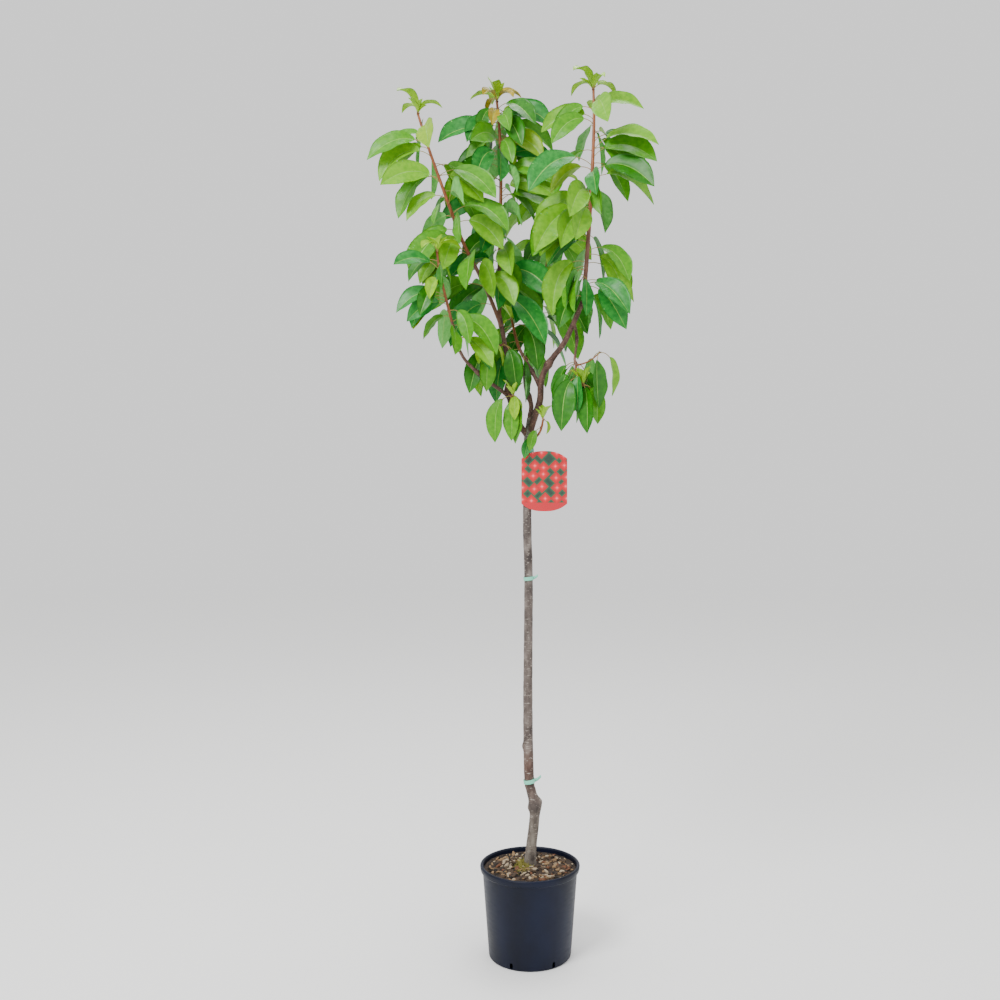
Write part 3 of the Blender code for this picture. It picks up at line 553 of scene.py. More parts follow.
def moulded_plastic():
    """Recycled polypropylene, injection moulded: blue-black, a fine spark texture and scuffs that dull it."""
    made, tree, shader = material("moulded_recycled_polypropylene", IOR=1.49, Specular_IOR_Level=0.20)
    cloud = pattern(tree, "ShaderNodeTexNoise", 111.1, (1, 1, 0.6), Detail=4.0)
    colour = node(tree, "ShaderNodeValToRGB", stops=((0.30, "060a17"), (0.70, "0c142b")), Fac=cloud)
    scuffs = pattern(tree, "ShaderNodeTexNoise", 25, (1, 1, 4), Detail=8.0)
    rough = node(tree, "ShaderNodeMapRange", Value=scuffs, To_Min=0.34, To_Max=0.56)
    spark = pattern(tree, "ShaderNodeTexNoise", 1.11, Detail=1.0)
    relief = node(tree, "ShaderNodeBump", Strength=0.12, Distance=0.3 * MM, Height=spark)
    feed(shader, Base_Color=colour, Roughness=rough, Normal=relief)
    return made


def crumb(name, dark, light):
    """Damp peat, bark or bare wood: 3 mm crumbs from a dark colour to a light one, with no gloss."""
    made, tree, shader = material(name, Roughness=0.92)
    crumbs = pattern(tree, "ShaderNodeTexVoronoi", 3.03)
    colour = node(tree, "ShaderNodeValToRGB", stops=((0.15, light), (0.70, dark)), Fac=crumbs)
    relief = node(tree, "ShaderNodeBump", Strength=0.7, Distance=2.0 * MM, Height=crumbs)
    feed(shader, Base_Color=colour, Normal=relief)
    return made


def film(name, colour):
    """Smooth plastic film or tape, dyed through: one colour, a little cloudy and uneven in its gloss."""
    made, tree, shader = material(name, Roughness=0.45, IOR=1.50, Coat_Weight=0.15, Coat_Roughness=0.12)
    cloud = pattern(tree, "ShaderNodeTexNoise", 6.25, Detail=3.0)
    value = node(tree, "ShaderNodeMapRange", Value=cloud, To_Min=0.90, To_Max=1.10)
    shade = node(tree, "ShaderNodeHueSaturation", Color=linear(colour), Value=value)
    relief = node(tree, "ShaderNodeBump", Strength=0.10, Distance=0.4 * MM, Height=cloud)
    feed(shader, Base_Color=shade, Normal=relief)
    return made


def shoot_skin(name, dark, light):
    """Skin of a young shoot, smooth and a little waxy, with streaks of two colours along its length."""
    made, tree, shader = material(name, Roughness=0.48, IOR=1.45)
    streak = pattern(tree, "ShaderNodeTexNoise", 6.25, (1, 1, 0.25), Detail=4.0)
    colour = node(tree, "ShaderNodeValToRGB", stops=((0.30, dark), (0.70, light)), Fac=streak)
    relief = node(tree, "ShaderNodeBump", Strength=0.25, Distance=0.5 * MM, Height=streak)
    feed(shader, Base_Color=colour, Normal=relief)
    return made


# Height of the crown up to which its leaves are dealt the darker tints of painted shade
PAINTED_SHADE_BELOW = 1.92
# Tints of the upper leaf face, dealt out leaf by leaf: dark and light green, and how often each is drawn in
# the light and in the painted shade, where darker greens are drawn more often to paint shade on the leaves
LEAF_TINTS = (
    ("leaf_mid_green", "3d8404", "559a0c", 36, 22),
    ("leaf_fresh_green", "5c9c0c", "76b01a", 34, 12),
    ("leaf_deep_green", "1c6202", "2c7606", 14, 34),
    ("leaf_blue_green", "146f20", "2f8a30", 8, 26),
    ("leaf_yellow_green", "6c9a06", "86ac0e", 5, 2),
)
YOUNG_TINT = ("leaf_young", "78ab0c", "98c41e")
COPPER_TINT = ("leaf_copper", "8a7a0c", "a8921c")


def make_materials():
    """The finishes of the tree, the pot and the compost, by the names that the pieces ask for."""
    skins = {}
    for name, dark, light, *_ in (*LEAF_TINTS, YOUNG_TINT, COPPER_TINT):
        skins[name] = leaf_face(name, dark, light, 0.42, 0.12)
    skins["leaf_underside"] = leaf_face("leaf_underside", "4c9a3c", "6db254", 0.60, 0.0)
    skins["midrib"] = leaf_face("midrib", "6c9f3a", "8cba55", 0.45, 0.15)
    skins["petiole"] = shoot_skin("petiole_skin", "7d8a35", "a8764a")
    skins["young_shoot"] = shoot_skin("young_shoot_skin", "6b3417", "93562c")
    skins["year_old_shoot"] = shoot_skin("year_old_shoot_skin", "573427", "7c5240")
    skins["bud"] = shoot_skin("bud_scale", "4a2c1e", "7a4a30")
    grey = ((0.32, "403937"), (0.50, "665e59"), (0.68, "867f79"))
    heights = ((0.00, "b8b8b0"), (0.12, "aeaca2"), (0.16, "8a817e"), (0.24, "9a6c56"),
               (0.30, "a09794"), (1.00, "b0adac"))
    skins["trunk"] = bark("grey_cherry_bark", grey, "a39a90", 0.82, 4.0, heights)
    brown = ((0.28, "33211d"), (0.50, "4e342c"), (0.74, "6e5044"))
    skins["bough"] = bark("brown_cherry_bark", brown, "8a705e", 0.74, 3.0)
    skins["cut_wood"] = crumb("weathered_cut_wood", "7c4a34", "a9714f")
    skins["pot"] = moulded_plastic()
    skins["compost"] = crumb("peat_and_bark_compost", "17110c", "4a3829")
    return skins


SKIN = make_materials()


def new_mesh(name, points, faces, skins, slots=None, smooth=True):
    """An object from points and faces. slots gives each face's place in the list of materials."""
    mesh = bpy.data.meshes.new(name)
    mesh.from_pydata([tuple(p) for p in points], [], faces)
    for skin in skins:
        mesh.materials.append(skin)
    if slots:
        mesh.polygons.foreach_set("material_index", slots)
    if smooth:
        mesh.shade_smooth()
    mesh.validate()
    obj = bpy.data.objects.new(name, mesh)
    bpy.context.scene.collection.objects.link(obj)
    return obj


def settle(obj, slot, *nodes):
    """Hangs a piece on the root body and hides the nodes that it stands for. The slot is not used."""
    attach(obj, "root")
    if nodes:
        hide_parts(*nodes)


def heading(turn):
    """The level direction at a turn round the trunk."""
    return Vector((math.cos(turn), math.sin(turn), 0))


def smooth_path(points, steps):
    """An even curve through each of the points, with the given number of steps from one to the next."""
    points = [Vector(p) for p in points]
    ends = [2 * points[0] - points[1], *points, 2 * points[-1] - points[-2]]
    path = []
    for a, b, c, d in zip(ends, ends[1:], ends[2:], ends[3:]):
        for i in range(steps):
            t = i / steps
            bend = (2 * a - 5 * b + 4 * c - d) * t * t + (3 * b - a - 3 * c + d) * t**3
            path.append((2 * b + (c - a) * t + bend) / 2)
    path.append(points[-1])
    return path


def travelled(path):
    """How far along the path each of its points lies."""
    total = [0.0]
    for a, b in zip(path, path[1:]):
        total.append(total[-1] + (b - a).length)
    return total


def spot(path, share):
    """The point at that share of the path's length, and the path's direction there."""
    run = travelled(path)
    want = share * run[-1]
    for i in range(len(path) - 1):
        if run[i + 1] >= want or i == len(path) - 2:
            step = path[i + 1] - path[i]
            part = (want - run[i]) / (run[i + 1] - run[i])
            return path[i] + step * part, step.normalized()


def loft(rings, tip=None):
    """A closed solid through rings of points, ending flat or at a tip."""
    points = [p for ring in rings for p in ring]
    count = len(rings[0])
    faces = [tuple(reversed(range(count)))]
    for start in range(0, (len(rings) - 1) * count, count):
        for k in range(count):
            after = (k + 1) % count
            faces.append((start + k, start + after, start + count + after, start + count + k))
    last = (len(rings) - 1) * count
    if tip is None:
        faces.append(tuple(range(last, last + count)))
    else:
        points.append(tip)
        faces += [(last + k, last + (k + 1) % count, len(points) - 1) for k in range(count)]
    return points, faces


def tube(path, radius_at, sides, level=False, relief=None):
    """A closed tube. radius_at takes the distance along it, the share of its length and an angle round it."""
    run = travelled(path)
    side = Vector((1, 0, 0)) if level else RING_START
    rings = []
    for i, place in enumerate(path):
        along = path[min(i + 1, len(path) - 1)] - path[max(i - 1, 0)]
        along = UP if level else along.normalized()
        side = (side - along * side.dot(along)).normalized()
        up = along.cross(side)
        ring = []
        for k in range(sides):
            angle = 2 * math.pi * k / sides
            radius = radius_at(run[i], run[i] / run[-1], angle)
            out = side * math.cos(angle) + up * math.sin(angle)
            if relief:
                radius += relief(place + out * radius)
            ring.append(place + out * radius)
        rings.append(ring)
    return loft(rings)


def bell(offset, length):
    """A smooth hump: 1 in the middle, falling to nothing over the given length."""
    return math.exp(-((offset / length) ** 2))


def trunk_radius(height, share, angle):
    """Taper, root flare, graft swelling, healed knobs, and the cut stub above the fork."""
    part = min(height / TRUNK_TAPER_HEIGHT, 1.0)
    radius = TRUNK_FOOT_RADIUS + (TRUNK_RADIUS - TRUNK_FOOT_RADIUS) * part
    radius += ROOT_FLARE * math.exp(-height / ROOT_FLARE_HEIGHT)
    radius += GRAFT_SWELLING * bell(height - GRAFT_HEIGHT, GRAFT_LENGTH)
    radius += FORK_SWELLING * bell(height - FORK_HEIGHT, FORK_LENGTH)
    for knob_height, turn, stand_out, size in TRUNK_KNOBS:
        around = math.atan2(math.sin(angle - turn), math.cos(angle - turn)) * TRUNK_RADIUS
        radius += stand_out * bell(height - knob_height, size) * bell(around, size)
    left = height / share * (1 - share) if share else height + STUB_LENGTH
    if left < STUB_LENGTH:
        radius = STUB_RADIUS + (radius - STUB_RADIUS) * left / STUB_LENGTH
    return radius


def limb_radius(limb):
    """The radius rule of a bough or stem: an even taper, a collar where it leaves a side, and a knob."""
    foot, tip = limb["radii"]
    collar = COLLAR_SWELLING if limb["share"] < 1 else 0.0
    knob = limb.get("knob")

    def radius_at(distance, share, angle):
        radius = foot + (tip - foot) * share
        swelling = collar * math.exp(-distance / COLLAR_LENGTH)
        if knob and share:
            swelling += KNOB_SWELLING * bell(distance * (1 - knob / share), KNOB_LENGTH)
        return radius * (1 + swelling)

    return radius_at


def limb_shape(limb, sides, carriers):
    """Where a limb runs and how thick it is."""
    carrier = carriers[limb["carrier"]]
    start, along = spot(carrier["path"], limb["share"])
    if carrier["level"]:
        along = UP
    if limb["share"] == 1:
        start = start + along * GAP
    path = smooth_path([start, *limb["path"]], PATH_STEPS)
    if limb["share"] == 1:
        step = (path[1] - path[0]).length / 2
        path = [path[0], path[0] + along * step, *path[1:]]
    return {"path": path, "radius_at": limb_radius(limb), "sides": sides, "level": False}


def shape_solid(shape):
    return tube(shape["path"], shape["radius_at"], shape["sides"], shape["level"])


def blade_outline(share):
    """Half width of a blade as a share of its widest: rounded at the base, and drawn out at the tip."""
    height = share**BLADE_BASE_POWER * (1 - share**BLADE_TIP_START) ** BLADE_TIP_POWER
    return min(1.0, height / BLADE_PEAK)


def leaf_line(leaf):
    """The midline from root to tip: place, direction and upright at each step."""
    total = leaf["petiole"] + leaf["blade"]
    place = leaf["root"].copy()
    run = 0.0
    line = []
    for i in range(LEAF_STEPS + 1):
        part = min(run / total, 1.0)
        slope = leaf["rise"] + (leaf["fall"] - leaf["rise"]) * (1 - (1 - part) ** leaf["bend"])
        turn = leaf["turn"] + leaf["sweep"] * part * part
        out = heading(turn)
        along = out * math.cos(slope) + Vector((0, 0, math.sin(slope)))
        upright = Vector((0, 0, math.cos(slope))) - out * math.sin(slope)
        line.append((place.copy(), along, upright))
        petiole = i < PETIOLE_STEPS
        step = leaf["petiole"] / PETIOLE_STEPS if petiole else leaf["blade"] / (LEAF_STEPS - PETIOLE_STEPS)
        place = place + along * step
        run += step
    return line


def leaf_axes(along, upright, roll):
    """Where the upper face looks once the blade has rolled over, and the direction across the blade."""
    face = upright * math.cos(roll) + along.cross(upright) * math.sin(roll)
    return face, along.cross(face)


def roll_to_light(turn, roll, chance):
    """Rolls a blade at the side towards the light, and one at the front or back either way."""
    faces_light = heading(turn).cross(UP).dot(LIGHT)
    either = chance.choice((-1, 1))
    return roll * (either if abs(faces_light) < FACES_LIGHT else math.copysign(1, faces_light))


def leaf_solid(leaf, first=0, grown=0.0):
    """The room that a leaf takes, from the given section on, as rings of four points that end at the tip."""
    line = leaf_line(leaf)
    rings = []
    for i in LEAF_SECTIONS[first:]:
        place, along, upright = line[i]
        face, across = leaf_axes(along, upright, leaf["roll"])
        share = max(0.0, (i - PETIOLE_STEPS) / (LEAF_STEPS - PETIOLE_STEPS))
        half = leaf["blade"] * BLADE_WIDTH_SHARE / 2 * blade_outline(share)
        fold = FOLD if half > PETIOLE_RADIUS else 0.0
        half = max(half, PETIOLE_RADIUS) + grown
        thick = leaf["blade"] * LEAF_THICKNESS_SHARE / 2 * (1 - share / 2) if share else PETIOLE_RADIUS
        top = place + face * (thick + grown)
        under = place - face * (thick + grown)
        lift = face * half * math.sin(fold)
        reach = across * half * math.cos(fold)
        rings.append([top, place + lift + reach, under, place + lift - reach])
    return loft(rings, line[-1][0])


def draw_leaf(root, turn, hang, blade, chance):
    """One leaf's sizes and slopes, each a little different from the rule by chance."""
    hang = min(1.0, max(0.0, hang + chance.uniform(-HANG_SPREAD, HANG_SPREAD)))
    spread = math.radians(SLOPE_SPREAD)
    blade = blade * (1 + chance.uniform(-BLADE_SPREAD, BLADE_SPREAD))
    turn = math.radians(turn + chance.uniform(-TURN_SPREAD, TURN_SPREAD))
    return {
        "root": root,
        "turn": turn,
        "rise": RISE[0] + (RISE[1] - RISE[0]) * hang + chance.uniform(-spread, spread),
        "fall": FALL[0] + (FALL[1] - FALL[0]) * hang + chance.uniform(-spread, spread),
        "bend": BEND[0] + (BEND[1] - BEND[0]) * hang,
        "sweep": math.radians(chance.uniform(-SWEEP_SPREAD, SWEEP_SPREAD)),
        "roll": roll_to_light(turn, chance.uniform(*ROLL), chance),
        "blade": blade,
        "petiole": blade * PETIOLE_SHARE * chance.uniform(*PETIOLE_SPREAD),
    }


def tree_of(solid):
    return BVHTree.FromPolygons(*solid)


def fits(leaf, stem, path, others, own):
    """Whether a leaf stays within its mass's reach and clear of the limbs and of all other leaves."""
    whole = leaf_solid(leaf, 0, LEAF_ROOM)
    if any(min((p - q).length for q in path) > MASS_REACH for p in whole[0]):
        return False
    if stem.overlap(tree_of(leaf_solid(leaf, FREE_OF_STEM_FROM, LEAF_ROOM))):
        return False
    tree = tree_of(whole)
    if any(other.overlap(tree) for other in others):
        return False
    past_root = tree_of(leaf_solid(leaf, 1, LEAF_ROOM))
    return not any(sister.overlap(past_root) for sister in own)


def placed(leaf, stem, path, others, own):
    """The leaf at the first turn where it fits, or nothing."""
    for turn in TRIED_TURNS:
        tried = dict(leaf, turn=leaf["turn"] + math.radians(turn))
        if fits(tried, stem, path, others, own):
            own.append(tree_of(leaf_solid(tried, 1)))
            return tried
    return None


def twig_path(root, turn):
    """A short side twig that curves upwards."""
    path = [root]
    for slope in (TWIG_SLOPE / 2, TWIG_SLOPE):
        along = heading(turn) * math.cos(slope) + Vector((0, 0, math.sin(slope)))
        path.append(path[-1] + along * TWIG_LENGTH / 2)
    return smooth_path(path, PATH_STEPS)


def twig_radius(distance, share, angle):
    return TWIG_RADII[0] + (TWIG_RADII[1] - TWIG_RADII[0]) * share


def grow_mass(mass, shape, others):
    """The leaves and twigs of one mass, from the foot of its stem to the tip."""
    chance = random.Random(mass["seed"])
    path = shape["path"]
    stem = tree_of(shape_solid(shape))
    own = []
    leaves = []
    twigs = []
    count = len(mass["grows"])

    def add(root, turn, hang, blade, rise=0.0):
        leaf = draw_leaf(root, turn, hang, blade, chance)
        leaf["rise"] += math.radians(rise)
        leaf = placed(leaf, stem, path, others, own)
        if leaf:
            leaves.append(leaf)

    for i, letter in enumerate(mass["grows"]):
        up = ((i + 0.5) / count) ** mass.get("crowding", 1.0)
        share = FIRST_LEAF_SHARE + (LAST_LEAF_SHARE - FIRST_LEAF_SHARE) * up
        root, _ = spot(path, share)
        hang = mass["hang"][0] + (mass["hang"][1] - mass["hang"][0]) * share
        age = min(1.0, YOUNG_SIZE + (1 - YOUNG_SIZE) * (1 - share) / YOUNG_SHARE)
        turn = SIDE_TURNS[letter.lower()]
        if letter.islower():
            add(root, turn, hang, mass["blade"] * age)
            continue
        twig = twig_path(root, math.radians(turn))
        twigs.append(twig)
        for k in range(TWIG_LEAVES):
            add(twig[-1], turn + 360 * k / TWIG_LEAVES, hang, mass["blade"] * age)
    for k in range(mass["tips"]):
        turn = 360 * (k + chance.random() / 2) / mass["tips"]
        add(path[-1], turn, mass["hang"][1], mass["blade"] * YOUNG_SIZE, TIP_RISE)
    return leaves, twigs


def inside_frame(leaf):
    """Whether a leaf stays inside the box of the solids."""
    return all(LOW[k] < p[k] < HIGH[k] for p in leaf_solid(leaf)[0] for k in range(3))


def second_leaves(name, shape, others, own):
    """Leaves between those that the solids show, where they find room."""
    chance = random.Random(SECOND_SEED)
    mass = MASSES[name]
    stem = tree_of(shape_solid(shape))
    found = []
    for low, high, count, hang, size in SECOND_LEAVES.get(name, ()):
        for k in range(count):
            root, _ = spot(shape["path"], low + (high - low) * (k + chance.random()) / count)
            leaf = draw_leaf(root, chance.choice((0, 90, 180, 270)), hang, mass["blade"] * size, chance)
            if inside_frame(leaf):
                leaf = placed(leaf, stem, shape["path"], others, own)
                found += [leaf] if leaf and inside_frame(leaf) else []
    return found


class Heap:
    """Points, faces and face materials of many small shapes that are joined into one piece."""

    def __init__(self, skins):
        self.skins = skins
        self.points = []
        self.faces = []
        self.slots = []

    def add(self, solid, skin):
        start = len(self.points)
        self.points += solid[0]
        self.faces += [tuple(start + k for k in face) for face in solid[1]]
        slots = skin if isinstance(skin, list) else [self.skins.index(skin)] * len(solid[1])
        self.slots += slots

    def piece(self, name):
        return new_mesh(name, self.points, self.faces, [SKIN[s] for s in self.skins], self.slots)


LEAF_SKINS = [t[0] for t in LEAF_TINTS] + [YOUNG_TINT[0], COPPER_TINT[0], "leaf_underside", "midrib"]
SHOOT_SKINS = ["young_shoot", "year_old_shoot", "bud", "petiole", "bough"]


def between(line, at):
    """Place, direction and upright at a step of a midline that need not be whole."""
    i = min(int(at), len(line) - 2)
    part = at - i
    a, b = line[i], line[i + 1]
    place = a[0].lerp(b[0], part)
    before = line[max(i - 1, 0)][0]
    after = line[min(i + 2, len(line) - 1)][0]
    bulge = (a[0] + b[0] - before - after) * (part * (1 - part) / 4)
    return place + bulge, a[1].lerp(b[1], part).normalized(), a[2].lerp(b[2], part).normalized()


def fine_leaf(leaf, tint, chance):
    """A thin closed blade with teeth, pleats between its side veins, a sunken midrib and a wavy edge."""
    line = leaf_line(leaf)
    phase = chance.uniform(0, 2 * math.pi)
    waves = chance.uniform(1.6, 3.0)
    curl = EDGE_CURL * chance.uniform(-0.4, 1.0)
    young = tint in (YOUNG_TINT[0], COPPER_TINT[0])
    fold = math.sin(math.radians(chance.uniform(*(YOUNG_FOLD if young else BLADE_FOLD))))
    roll = leaf["roll"] * (YOUNG_ROLL if young else 1.0)
    columns = len(BLADE_COLUMNS)
    tops = []
    unders = []
    for row in range(BLADE_ROWS + 1):
        share = 0.004 + 0.992 * row / BLADE_ROWS
        place, along, upright = between(line, PETIOLE_STEPS + share * (LEAF_STEPS - PETIOLE_STEPS))
        face, across = leaf_axes(along, upright, roll)
        half = leaf["blade"] * BLADE_WIDTH_SHARE / 2 * blade_outline(share)
        for c in BLADE_COLUMNS:
            side = abs(c)
            reach = half * (1 - TOOTH * (row % 2)) if side == 1 else half
            wave = EDGE_WAVE * math.sin(waves * 2 * math.pi * share + phase + (c > 0)) * side * side
            pleat = PLEAT_DEPTH * math.sin(2 * math.pi * VEIN_PAIRS * (share - VEIN_SLANT * side))
            pleat *= side * (1 - side) * 4 * math.sin(math.pi * share)
            lift = half * (fold * side + wave - curl * side**3 + pleat)
            if side < 0.1:
                lift -= MIDRIB_DIP
            spotted = place + across * (c * reach * math.cos(FOLD)) + face * lift
            thick = LEAF_THICKNESS / 2 * (1.6 if side < 0.1 else 1.0 - 0.6 * side)
            tops.append(spotted + face * thick)
            unders.append(spotted - face * thick)
    base = len(tops)
    faces = []
    slots = []
    top = LEAF_SKINS.index(tint)
    under = top if young else LEAF_SKINS.index("leaf_underside")
    rib = LEAF_SKINS.index("midrib")
    for row in range(BLADE_ROWS):
        for k in range(columns - 1):
            a = row * columns + k
            quad = (a, a + 1, a + 1 + columns, a + columns)
            faces.append(tuple(reversed(quad)))
            slots.append(rib if k == MIDRIB_COLUMN else top)
            faces.append(tuple(base + q for q in quad))
            slots.append(rib if k == MIDRIB_COLUMN else under)
    edge = [row * columns for row in range(BLADE_ROWS + 1)]
    edge += [BLADE_ROWS * columns + k for k in range(1, columns)]
    edge += [row * columns + columns - 1 for row in range(BLADE_ROWS - 1, -1, -1)]
    edge += [k for k in range(columns - 2, 0, -1)]
    for a, b in zip(edge, edge[1:] + edge[:1]):
        faces.append((a, b, base + b, base + a))
        slots.append(top)
    return (tops + unders, faces), slots


def petiole_path(leaf):
    line = leaf_line(leaf)
    return [between(line, PETIOLE_STEPS * k / PETIOLE_RINGS)[0] for k in range(PETIOLE_RINGS + 1)]


def petiole_radius(distance, share, angle):
    """A petiole swells where it leaves the shoot and where it meets the blade."""
    return PETIOLE_RADIUS * (0.80 + 0.45 * math.exp(-distance / 0.004) + 0.15 * share**4)


def bud_solid(root, out, along):
    """A pointed bud that leans on the shoot above a leaf's root."""
    up = (along * 0.8 + out * 0.5).normalized()
    side = up.cross(out).normalized()
    front = side.cross(up)
    rings = []
    for share, width in ((0.0, 0.75), (0.35, 1.0), (0.7, 0.7)):
        ring = []
        for k in range(6):
            angle = 2 * math.pi * k / 6
            flat = side * math.cos(angle) + front * math.sin(angle)
            ring.append(root + up * (BUD_LENGTH * share) + flat * (BUD_RADIUS * width))
        rings.append(ring)
    return loft(rings, root + up * BUD_LENGTH)


def shoot_skins(path, faces, sides, oldest):
    """Young skin near the tip and older skin below, ring by ring."""
    rings = len(path) - 1
    young = SHOOT_SKINS.index("young_shoot")
    old = SHOOT_SKINS.index(oldest)
    slots = [old]
    for i in range(rings):
        slots += [young if i / rings > OLD_SKIN_SHARE else old] * sides
    slots += [young] * (len(faces) - len(slots))
    return slots


def pick_tint(leaf, mass, chance):
    """Pale for young leaves at a shoot's end, copper for some on the highest leader, the rest by chance:
    darker greens more often low in the crown and atop the centre leader, as painted shade.
    """
    young = leaf["blade"] < mass["blade"] * YOUNG_BLADE_SHARE
    tip = mass["path"][-1]
    if young and tip[2] > COPPER_ABOVE and tip[0] < 0 and chance.random() < COPPER_SHARE:
        return COPPER_TINT[0]
    if young:
        return YOUNG_TINT[0]
    names = [t[0] for t in LEAF_TINTS]
    height = leaf["root"].z
    # Low in the crown, and at the top of the centre leader, leaves count as shaded and are dealt darker
    # greens: painted shade
    in_painted_shade = height < PAINTED_SHADE_BELOW or height > mass.get("painted_shade_above", HIGH.z)
    return chance.choices(names, [t[4 if in_painted_shade else 3] for t in LEAF_TINTS])[0]


def tuft(root, chance):
    """The smallest leaves, still folded together at the end of a shoot."""
    leaves = []
    for k in range(TUFT_LEAVES):
        blade = TUFT_BLADE * chance.uniform(0.55, 1.0)
        leaves.append({
            "root": root,
            "turn": 2 * math.pi * (k + chance.random() * 0.4) / TUFT_LEAVES,
            "rise": math.radians(chance.uniform(62, 84)),
            "fall": math.radians(chance.uniform(25, 62)),
            "bend": 1.2,
            "sweep": math.radians(chance.uniform(-20, 20)),
            "roll": chance.uniform(-0.3, 0.3),
            "blade": blade,
            "petiole": blade * 0.2,
        })
    return leaves


def bark_relief(layers):
    """How far the bark stands out at a point, from layers of noise."""

    def relief(p):
        height = 0.0
        for across, up, depth in layers:
            height += noise.noise(Vector((p.x * across, p.y * across, p.z * up))) * depth
        return height

    return relief


def make_bough_bark(name, shape):
    """A bough with the bark's relief, running on into the limb that carries it."""
    path = smooth_path(shape["path"], BOUGH_BARK_STEPS)
    points, faces = tube(path, shape["radius_at"], BOUGH_BARK_SIDES, relief=bark_relief(BOUGH_RELIEF))
    settle(new_mesh(name + "_bark", points, faces, [SKIN["bough"]]), "bough_bark", name)


def make_trunk_bark():
    """The trunk with level ridges, pores and the swellings of its graft and knobs, under a sawn top."""
    path = smooth_path(TRUNK_PATH, TRUNK_BARK_STEPS)
    points, faces = tube(path, trunk_radius, TRUNK_BARK_SIDES, True, bark_relief(TRUNK_RELIEF))
    slots = [0] * len(faces)
    slots[-1] = 1
    obj = new_mesh("trunk_bark", points, faces, [SKIN["trunk"], SKIN["cut_wood"]], slots)
    settle(obj, "trunk_bark", "trunk")


def trunk_line():
    """The trunk's middle line, in the same steps as its solid."""
    return smooth_path(TRUNK_PATH, TRUNK_PATH_STEPS)


def make_tree():
    """Trunk, boughs, shoots and leaves, grown by the same rule as the solids."""
    shapes = {"trunk": {"path": trunk_line(), "radius_at": trunk_radius, "sides": TRUNK_SIDES, "level": True}}
    for name, bough in BOUGHS.items():
        shapes[name] = limb_shape(bough, BOUGH_SIDES, shapes)
    for name, mass in MASSES.items():
        shapes[name] = limb_shape(mass, STEM_SIDES, shapes)
    make_trunk_bark()
    for name in BOUGHS:
        make_bough_bark(name, shapes[name])
    limbs = {name: tree_of(shape_solid(shape)) for name, shape in shapes.items()}
    label = tree_of(label_solid())
    grown = {}

    def around(name):
        """All that a mass keeps clear of: the other limbs, the label, and the other masses grown so far."""
        found = [limb for other, limb in limbs.items() if other != name]
        return [*found, label, *sum((g[2] for other, g in grown.items() if other != name), [])]

    for name, mass in MASSES.items():
        leaves, twigs = grow_mass(mass, shapes[name], around(name))
        solids = [tree_of(tube(twig, twig_radius, TWIG_SIDES)) for twig in twigs]
        solids += [tree_of(leaf_solid(leaf)) for leaf in leaves]
        grown[name] = (leaves, twigs, solids)
    chance = random.Random(DRESSING_SEED)
    for name, mass in MASSES.items():
        leaves, twigs, solids = grown[name]
        more = second_leaves(name, shapes[name], around(name), list(solids))
        solids += [tree_of(leaf_solid(leaf)) for leaf in more]
        dress_mass(name, mass, shapes[name], leaves + more, twigs, chance)


def shoot_radius(radius_at):
    """A shoot's own radius: it tapers less than the solid's, and thickens at each joint."""

    def at(distance, share, angle):
        joints = SHOOT_JOINT_SWELLING * math.cos(2 * math.pi * distance / SHOOT_JOINT) ** 8
        return radius_at(distance, share, angle) * (1 + SHOOT_THICKENING * share + joints)

    return at


def dress_mass(name, mass, shape, leaves, twigs, chance):
    """One mass as two pieces: its blades, and its shoots with petioles and buds."""
    blades = Heap(LEAF_SKINS)
    shoots = Heap(SHOOT_SKINS)

    def hang(leaf, tint):
        blades.add(*fine_leaf(leaf, tint, chance))
        shoots.add(tube(petiole_path(leaf), petiole_radius, PETIOLE_RINGS), "petiole")

    path = smooth_path(shape["path"], SHOOT_STEPS)
    solid = tube(path, shoot_radius(shape["radius_at"]), SHOOT_SIDES)
    shoots.add(solid, shoot_skins(path, solid[1], SHOOT_SIDES, "year_old_shoot"))
    for twig in twigs:
        shoots.add(tube(smooth_path(twig, TWIG_STEPS), twig_radius, 2 * TWIG_SIDES), "young_shoot")
    for leaf in leaves:
        hang(leaf, pick_tint(leaf, mass, chance))
        out = heading(leaf["turn"])
        shoots.add(bud_solid(leaf["root"] + out * BUD_STANDS_OUT, out, UP), "bud")
    for leaf in tuft(shape["path"][-1], chance):
        hang(leaf, YOUNG_TINT[0])
    settle(blades.piece(name + "_blades"), "leaf", name)
    settle(shoots.piece(name + "_shoots"), "bough_bark", name)


def label_bow(share):
    """How far the label's face stands in front of its side edges, with share from -1 at the left to 1."""
    return LABEL_BULGE * (1 - share * share)


def trunk_at(z):
    """The trunk's middle and its radius at a height."""
    path = trunk_line()
    share = (z - path[0].z) / (path[-1].z - path[0].z)
    place, _ = spot(path, share)
    return place, trunk_radius(share * travelled(path)[-1], share, math.pi / 2)


def label_front():
    """Where the front of the label's two side edges lies: its back is a little in front of the strap."""
    place, radius = trunk_at(STRAP_HEIGHTS[0])
    strap_front = place.y - radius - STRAP_ROOM - STRAP_FLARE - STRAP_THICKNESS
    share = (place.x - LABEL_CENTRE[0]) / (LABEL_WIDTH / 2)
    return strap_front - 2 * GAP - LABEL_THICKNESS + label_bow(share)


def label_solid(columns=LABEL_COLUMNS):
    """A plate arched at top and bottom and bowed a little towards the front."""
    front = label_front()
    rings = []
    for i in range(columns + 1):
        share = 2 * i / columns - 1
        share = math.copysign(abs(share) ** LABEL_COLUMN_POWER, share)
        drop = LABEL_ARCH * abs(share) ** LABEL_ARCH_POWER
        y = front - label_bow(share)
        x = LABEL_CENTRE[0] + share * LABEL_WIDTH / 2
        half = LABEL_HEIGHT / 2 - drop
        low = LABEL_CENTRE[1] - half
        high = LABEL_CENTRE[1] + half
        back = y + LABEL_THICKNESS
        rings.append([Vector((x, *corner)) for corner in ((y, low), (back, low), (back, high), (y, high))])
    return loft(rings)


